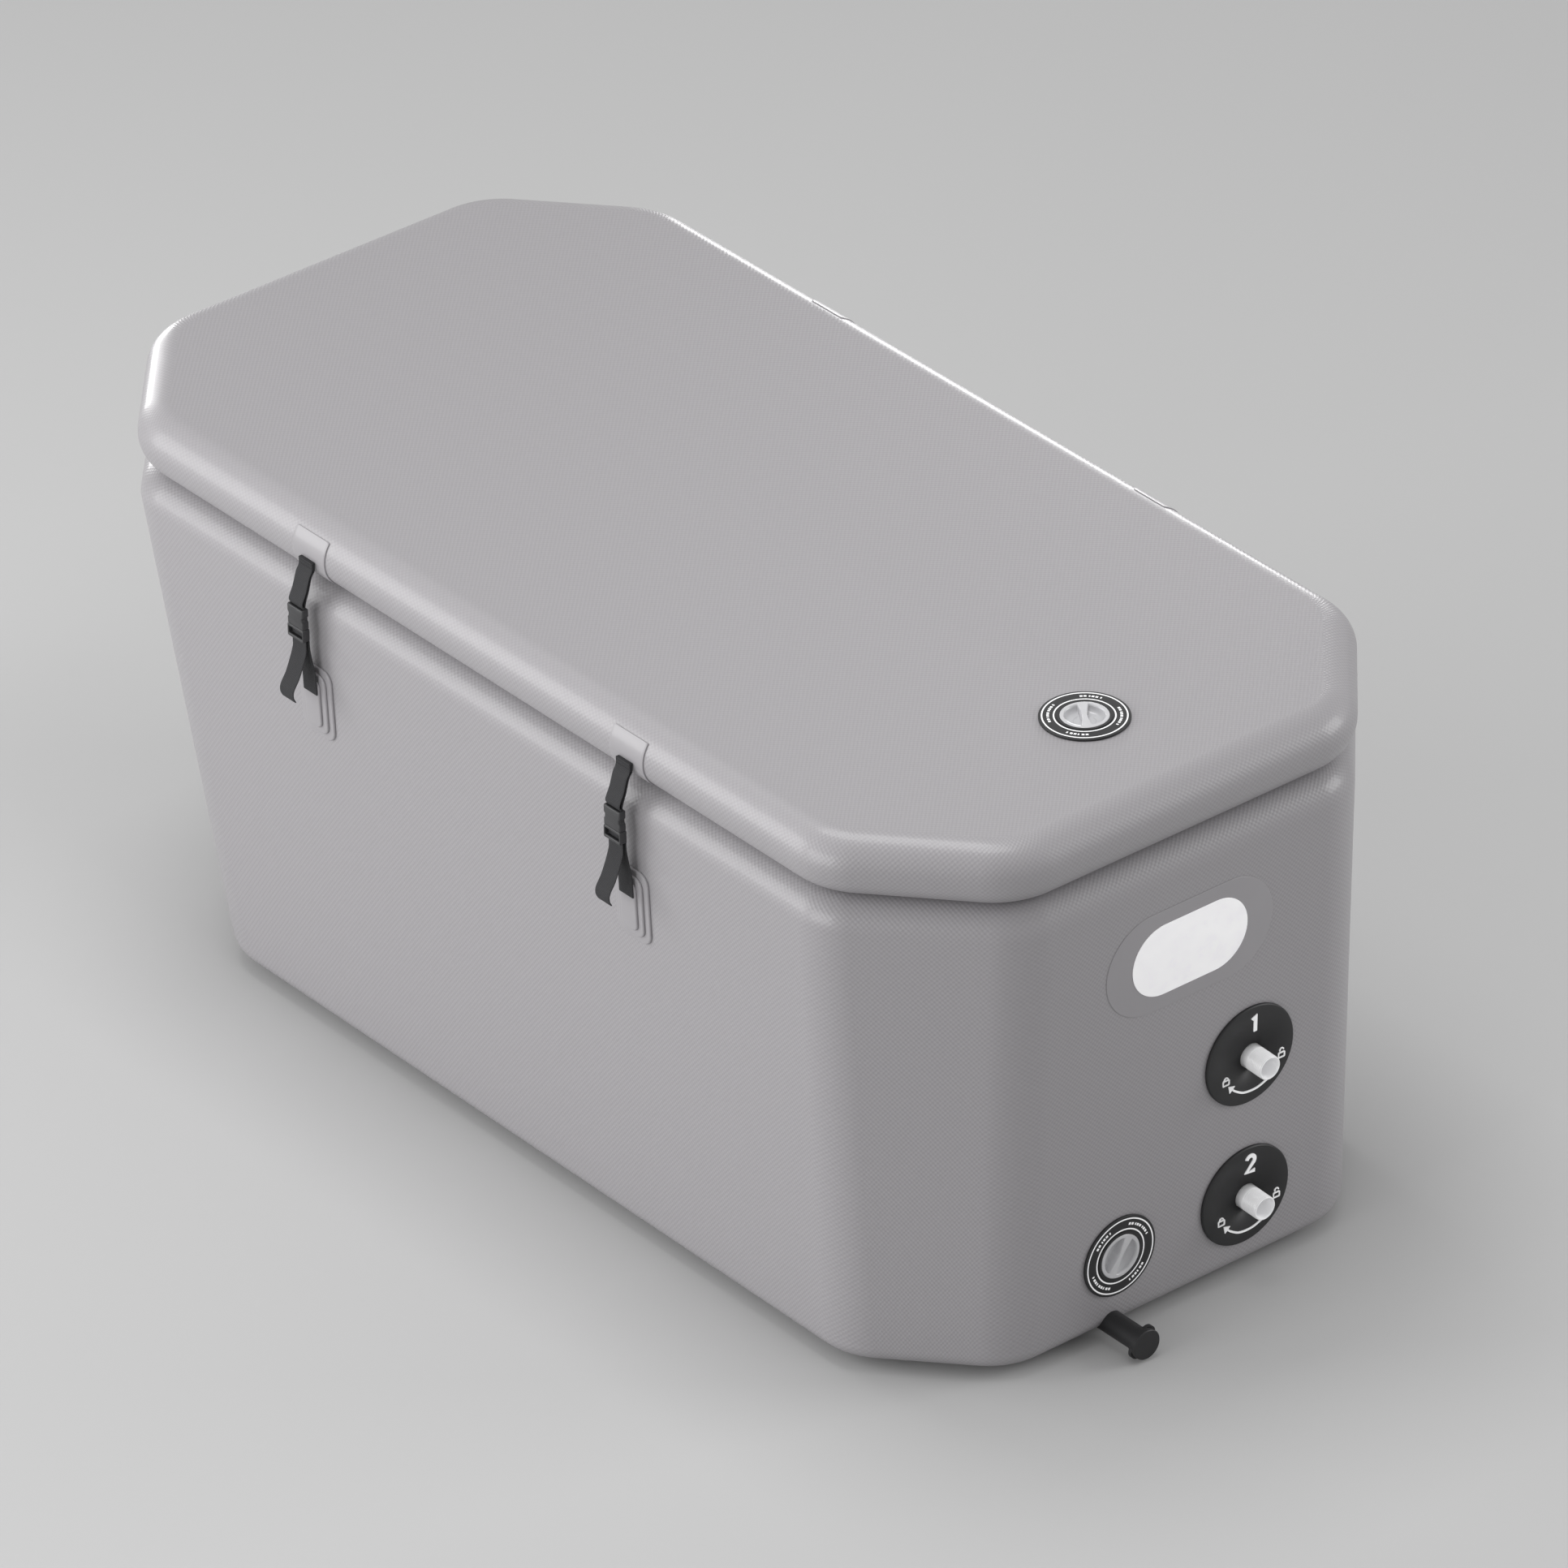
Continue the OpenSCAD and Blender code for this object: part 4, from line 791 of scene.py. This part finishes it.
makeBadge()
makePatches()
makeBasePad()
print("patches made")


# Straps and buckles. Paths are (y, z): upper and behind in mm from the buckle's middle at the socket's top, tail from
# the lower webbing's front at the clip's foot.
stitch = dict(reach=10.5 * mm, every=3.0 * mm, length=2.0 * mm, wide=0.5 * mm, lift=0.25 * mm,
              rows=(2.5 * mm, 7 * mm))
strapPath = dict(upper=((9, 38), (4, 22), (-1.5, 10), (-2.6, 6), (-1.8, 3), (0, 1.2), (0, -5)),
                 behind=((12, 38), (7.5, 22), (3.2, 10), (1.6, 4), (1.7, 1.4)),
                 tail=((0, -6), (-1, -18), (-11, -44), (-20, -59), (-21, -68), (-18, -75)),
                 sewn=-5 * mm, anchors=(479 * mm, 500 * mm, 511 * mm), bend=12 * mm)


def webbingStrip(path, x):
    # a flat section with soft selvedges, carried along the path
    path = smoothPath(path)
    way = np.gradient(path, axis=0)
    way /= np.linalg.norm(way, axis=1)[:, None]
    normal = np.stack([-way[:, 1], way[:, 0]], 1)
    t = straps["thick"] / 2
    flat = straps["width"] / 2 - t
    edge = arcPoints((flat, 0), t, -90, 90, 4)
    section = np.concatenate([np.column_stack([np.linspace(-flat, flat, 9), np.full(9, -t)])[:-1], edge,
                              np.column_stack([np.linspace(flat, -flat, 9), np.full(9, t)])[1:-1],
                              edge * [-1, -1], [[-flat, -t]]])
    points = np.empty((len(path), len(section), 3))
    points[..., 0] = x + section[None, :, 0]
    points[..., 1:] = path[:, None] + normal[:, None] * section[None, :, 1:]
    uv = np.stack(np.meshgrid(section[:, 0], runLength(path)), 2)
    return gridSet(points, uv, bothEnds)


def stitchRows(x, y, heights):
    # rows of short threads across the webbing's face, each a raised stroke with a bend in its middle
    half, lift = stitch["length"] / 2, stitch["lift"]
    sets = []
    for z in heights:
        at = (1, 0, 0), (0, 0, 1), (0, -1, 0), (x, y, z)
        for middle in np.arange(-stitch["reach"], stitch["reach"] + 0.1 * mm, stitch["every"]):
            thread = [(middle - half, 0.0), (middle, lift), (middle + half, 0.0)]
            sets.append(stroke(thread, stitch["wide"], -0.3 * mm, lift, at))
    return sets


rimY = skinHi[1]
buckle = dict(halfWidth=14.7 * mm, half=5 * mm, y=-rimY - 20 * mm, top=tub["top"] - 22 * mm, socket=26 * mm,
              clip=17 * mm, prongX=9.5 * mm, window=(4 * mm, 13 * mm), windowHalf=12.9 * mm, waist=12.75 * mm,
              barR=1.6 * mm, barHalf=13.3 * mm, barOut=3.3 * mm, gap=0.2 * mm, headShift=2.2, travel=22 * mm)
buckle["socketLow"] = buckle["top"] - buckle["socket"]
buckle["clipTop"] = buckle["socketLow"] - buckle["gap"]
buckle["clipLow"] = buckle["clipTop"] - buckle["clip"]
buckle["barZ"] = buckle["clipLow"] + sum(buckle["window"]) / 2
buckle["barY"] = buckle["y"] + buckle["barOut"]


def roundSection(halfX, front, back, radius, steps=4):
    # rounded rectangle in the plane of the first two axes, closed on its first point
    corners = ((halfX - radius, front + radius, -90), (halfX - radius, back - radius, 0),
               (radius - halfX, back - radius, 90), (radius - halfX, front + radius, 180))
    loop = np.concatenate([arcPoints((x, y), radius, start, start + 90, steps) for x, y, start in corners])
    return np.concatenate([loop, loop[:1]])


def sectionStack(rows, x, y, z):
    # rounded sections in mm (height, half width, half depth, corner radius, sideways shift), one above the other
    return np.stack([atHeight(roundSection(w, -d, d, r) + [x + shift, y], z + height)
                     for height, w, d, r, shift in np.array(rows) * mm])


def makeSocket(x, label):
    # one skin: up out of the webbing's slot, over the body with its waist, and into the prongs' mouth
    h, w, d, waist = (buckle[k] / mm for k in ("socket", "halfWidth", "half", "waist"))
    slot = [(h - 6, 12.9, 0.95, 0.4, 0), (h - 0.4, 12.9, 0.95, 0.4, 0), (h, 13.2, 1.3, 0.6, 0)]
    shoulder = [(h, w - 1.1, d - 1.2, 1.2, 0), (h - 0.3, w - 0.4, d - 0.4, 1.8, 0), (h - 1.1, w, d, 2.2, 0)]
    sides = [(h - 9.0, w, d, 2.2, 0), (h - 9.6, w - 0.3, d, 2.2, 0), (h - 11.2, waist, d, 2.0, 0),
             (h - 15.6, waist, d, 2.0, 0), (h - 17.6, w - 0.3, d, 2.2, 0), (h - 18.4, w, d, 2.2, 0),
             (1.1, w, d, 2.2, 0)]
    foot = [(0.3, w - 0.4, d - 0.4, 1.8, 0), (0, w - 1.1, d - 1.2, 1.2, 0)]
    mouth = [(0, 12.4, 2.9, 0.8, 0), (0.4, 12.0, 2.5, 0.6, 0), (16, 12.0, 2.5, 0.6, 0)]
    grid = sectionStack(slot + shoulder + sides + foot + mouth, x, buckle["y"], buckle["socketLow"])
    makePiece("buckleSocket" + label, *gridSet(grid, None, bothEnds), "buckle_plastic", "lid",
              "buckle_socket_" + label.lower())


def makeClip(x, label):
    # a section carried round the frame, from its outside (side 0) to the window's edge (side 1); a bar across the
    # window, and three prongs, of which the outer two end in release heads
    w, d, low = buckle["halfWidth"], buckle["half"], buckle["clipLow"]
    outer = roundSection(w, 0, buckle["clip"], 2.0 * mm)
    inner = roundSection(buckle["windowHalf"], *buckle["window"], 0.8 * mm)
    span = inner - outer
    wide = np.linalg.norm(span, axis=1)[:, None]
    back = np.where(outer[:, 1] < 1.2 * mm, -0.75 * mm, d)[:, None]
    ease = 0.7 * mm
    section = [(ease, -d, 0), (-ease, -d, 1), (0, -d + ease, 1), (0, back - ease, 1), (-ease, back, 1), (ease, back, 0),
               (0, back - ease, 0), (0, -d + ease, 0), (ease, -d, 0)]
    rings = []
    for step, depth, side in section:
        along = outer + span * side + span / wide * step
        rings.append(np.column_stack([along[:, :1], np.broadcast_to(depth, along[:, :1].shape), along[:, 1:]]))
    sets = [gridSet(np.stack(rings, 1) + [x, buckle["y"], low])]
    reach, r = buckle["barHalf"], buckle["barR"]
    bar = revolve([(0, -reach), (r, -reach), (r, reach), (0, reach)], 24)
    sets.append(gridSet(place(bar, ((0, 1, 0), (0, 0, 1), (1, 0, 0), (x, buckle["barY"], buckle["barZ"])))))
    for side in (-1, 0, 1):
        head = buckle["headShift"] * side
        rows = [(-1, 2, 2.3, 0.8, 0), (0, 2, 2.3, 0.8, 0), (8.0, 1.6, 2.3, 0.8, 0), (9.4, 1.7, 2.3, 0.8, head * 0.9),
                (12.0, 1.7, 2.3, 0.8, head), (13.6, 1.6, 2.2, 0.8, head * 0.6), (14.8, 1.1, 1.6, 0.7, 0),
                (15, 0.8, 1.2, 0.5, 0)]
        grid = sectionStack(rows, x + side * buckle["prongX"], buckle["y"], buckle["clipTop"])
        sets.append(gridSet(grid, None, bothEnds))
    makePiece("buckleClip" + label, *joinGrids(sets), "buckle_plastic", label.lower() + "_clip",
              "buckle_clip_" + label.lower())


def makeStraps():
    # the upper webbing is two layers and a fold sewn on the wrap; the lower one runs from the wall's patch up behind
    # the clip, round its bar and down in front as the loose tail
    half = straps["thick"] / 2
    backY = -lid["dims"][2] - seat - straps["wrap"] - half - 0.2 * mm
    frontY = backY - straps["thick"] * 2
    sewnZ = lid["mid"] + strapPath["sewn"]
    wrapGap = buckle["barR"] + 0.2 * mm + half
    back, front = buckle["barY"] + wrapGap, buckle["barY"] - wrapGap
    anchorOut = seat + 3 * (straps["layer"] + seat) + half + 0.2 * mm
    y, top, low, barZ = (buckle[k] for k in ("y", "top", "clipLow", "barZ"))

    def onPatch(z):
        # just off the stacked pads
        return -tubDims(tub["bottom"] + z)[2] - anchorOut, tub["bottom"] + z

    ahead = [(frontY, sewnZ), (frontY - 0.4 * mm, sewnZ - 10 * mm)]
    ahead += [(y + a * mm, top + b * mm) for a, b in strapPath["upper"]]
    behind = [(backY, sewnZ), (backY, sewnZ - 10 * mm)]
    behind += [(y + a * mm, top + b * mm) for a, b in strapPath["behind"]]
    middle = (frontY + backY) / 2
    fold = [(middle, sewnZ), (middle, sewnZ - 5 * mm), (middle - 0.2 * mm, sewnZ - 10 * mm)]
    # the loop stands clear of the bar by enough that it still does when the webbing is squashed
    loop = arcPoints((buckle["barY"], barZ), wrapGap, 30, 150, 4)
    loop[:, 1] = barZ + (loop[:, 1] - barZ) * straps["slack"]
    lower = [onPatch(z) for z in strapPath["anchors"]]
    lower[-1] = lower[-1][0] - 0.6 * mm, lower[-1][1]
    lower += [(back, low - strapPath["bend"]), (back, barZ), *loop.tolist(), (front, barZ)]
    lower += [(front + a * mm, low + b * mm) for a, b in strapPath["tail"]]
    for side, label in ((-1, "Left"), (1, "Right")):
        x, end = side * straps["x"], label.lower()
        layers = [webbingStrip(path, x) for path in (ahead, behind, fold)]
        layers += stitchRows(x, frontY - half - 0.05 * mm, [sewnZ - down for down in stitch["rows"]])
        makePiece("upperWebbing" + label, *joinGrids(layers), "webbing", "lid", "upper_webbing_" + end)
        piece = makePiece("lowerWebbing" + label, *webbingStrip(lower, x), "webbing", "tub", "lower_webbing_" + end)
        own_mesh(piece)
        makeSocket(x, label)
        makeClip(x, label)


makeStraps()
print("straps made")

# Camera at the photograph's viewing angle; the values are the view's own
view = dict(azimuth=51.1688, elevation=31.6133, roll=-1.0687, distance=19.401, across=0.0533, up=0.3466, unit=0.8,
            focalPixels=16205.95, imagePixels=1932, sensor=36.0)


def makeCamera():
    # stands back along its view, shifted across and up, in units of the view; a long lens keeps the lines parallel
    a, e, r = (math.radians(view[k]) for k in ("azimuth", "elevation", "roll"))
    back = np.array([math.sin(a) * math.cos(e), -math.cos(a) * math.cos(e), math.sin(e)])
    right = np.array([math.cos(a), math.sin(a), 0.0])
    up = np.cross(back, right)
    right, up = right * math.cos(r) + up * math.sin(r), -right * math.sin(r) + up * math.cos(r)
    spot = (back * view["distance"] + right * view["across"] + up * view["up"]) * view["unit"] + [0, 0, tub["bottom"]]
    data = bpy.data.cameras.new("camera")
    data.sensor_width = view["sensor"]
    data.lens = view["focalPixels"] / view["imagePixels"] * view["sensor"]
    data.clip_end = 200
    camera = addObject("camera", data)
    turn = np.eye(4)
    turn[:3, 0], turn[:3, 1], turn[:3, 2], turn[:3, 3] = right, up, back, spot
    camera.matrix_world = Matrix(turn.tolist())
    bpy.context.scene.camera = camera


stage = dict(floorHalf=40.0, floorColor=(0.52, 0.52, 0.52), sky=0.545)


def makeStage():
    # pale floor and an even sky
    size = stage["floorHalf"]
    corners = np.array([(-size, -size, 0), (size, -size, 0), (size, size, 0), (-size, size, 0)], float)
    mesh = bpy.data.meshes.new("floor")
    mesh.from_pydata(corners.tolist(), [], [(0, 1, 2, 3)])
    mesh.materials.append(newMaterial("floorPaint", stage["floorColor"], 0.9, specular=0.1)[0])
    addObject("floor", mesh)
    world = bpy.data.worlds.new("studio")
    world.use_nodes = True
    sky = world.node_tree.nodes["Background"].inputs
    sky["Color"].default_value, sky["Strength"].default_value = (1, 1, 1, 1), stage["sky"]
    bpy.context.scene.world = world


# Square soft lamps on a dome round the tub: (way across the floor, degrees up, metres off, side in metres, watts)
lamps = dict(main=((-0.63, -0.78), 16, 5.0, 3.0, 112), front=((0.05, -1.0), 10, 5.0, 2.6, 84),
             top=((-1.0, 0.0), 76, 5.0, 2.0, 74), pool=((0.95, -0.3), 72, 2.4, 0.8, 9),
             right=((0.63, 0.78), 18, 5.0, 2.0, 64), rimBack=((-0.63, 0.78), 6, 5.0, 1.2, 40),
             rimLeft=((-0.98, 0.21), 1, 5.0, 1.2, 60))


def makeLamps(aim=(0, 0, 0.4)):
    # each lamp stands off the aim along its way and looks back at it
    for name, (way, elevation, distance, size, power) in lamps.items():
        data = bpy.data.lights.new(name, "AREA")
        data.shape = "SQUARE"
        data.size = size
        data.energy = power
        item = addObject(name, data)
        flat = Vector((*way, 0)).normalized()
        up = math.radians(elevation)
        spot = Vector((flat.x * math.cos(up), flat.y * math.cos(up), math.sin(up))) * distance + Vector(aim)
        # the rim lamps show as edge reflections only, and leave the floor as it is
        item.visible_diffuse = not name.startswith("rim")
        item.location = spot
        item.rotation_euler = (Vector(aim) - spot).to_track_quat("-Z", "Y").to_euler()


makeCamera()
makeStage()
makeLamps()
bpy.context.scene.view_settings.view_transform = "Standard"
print("camera and lights made")
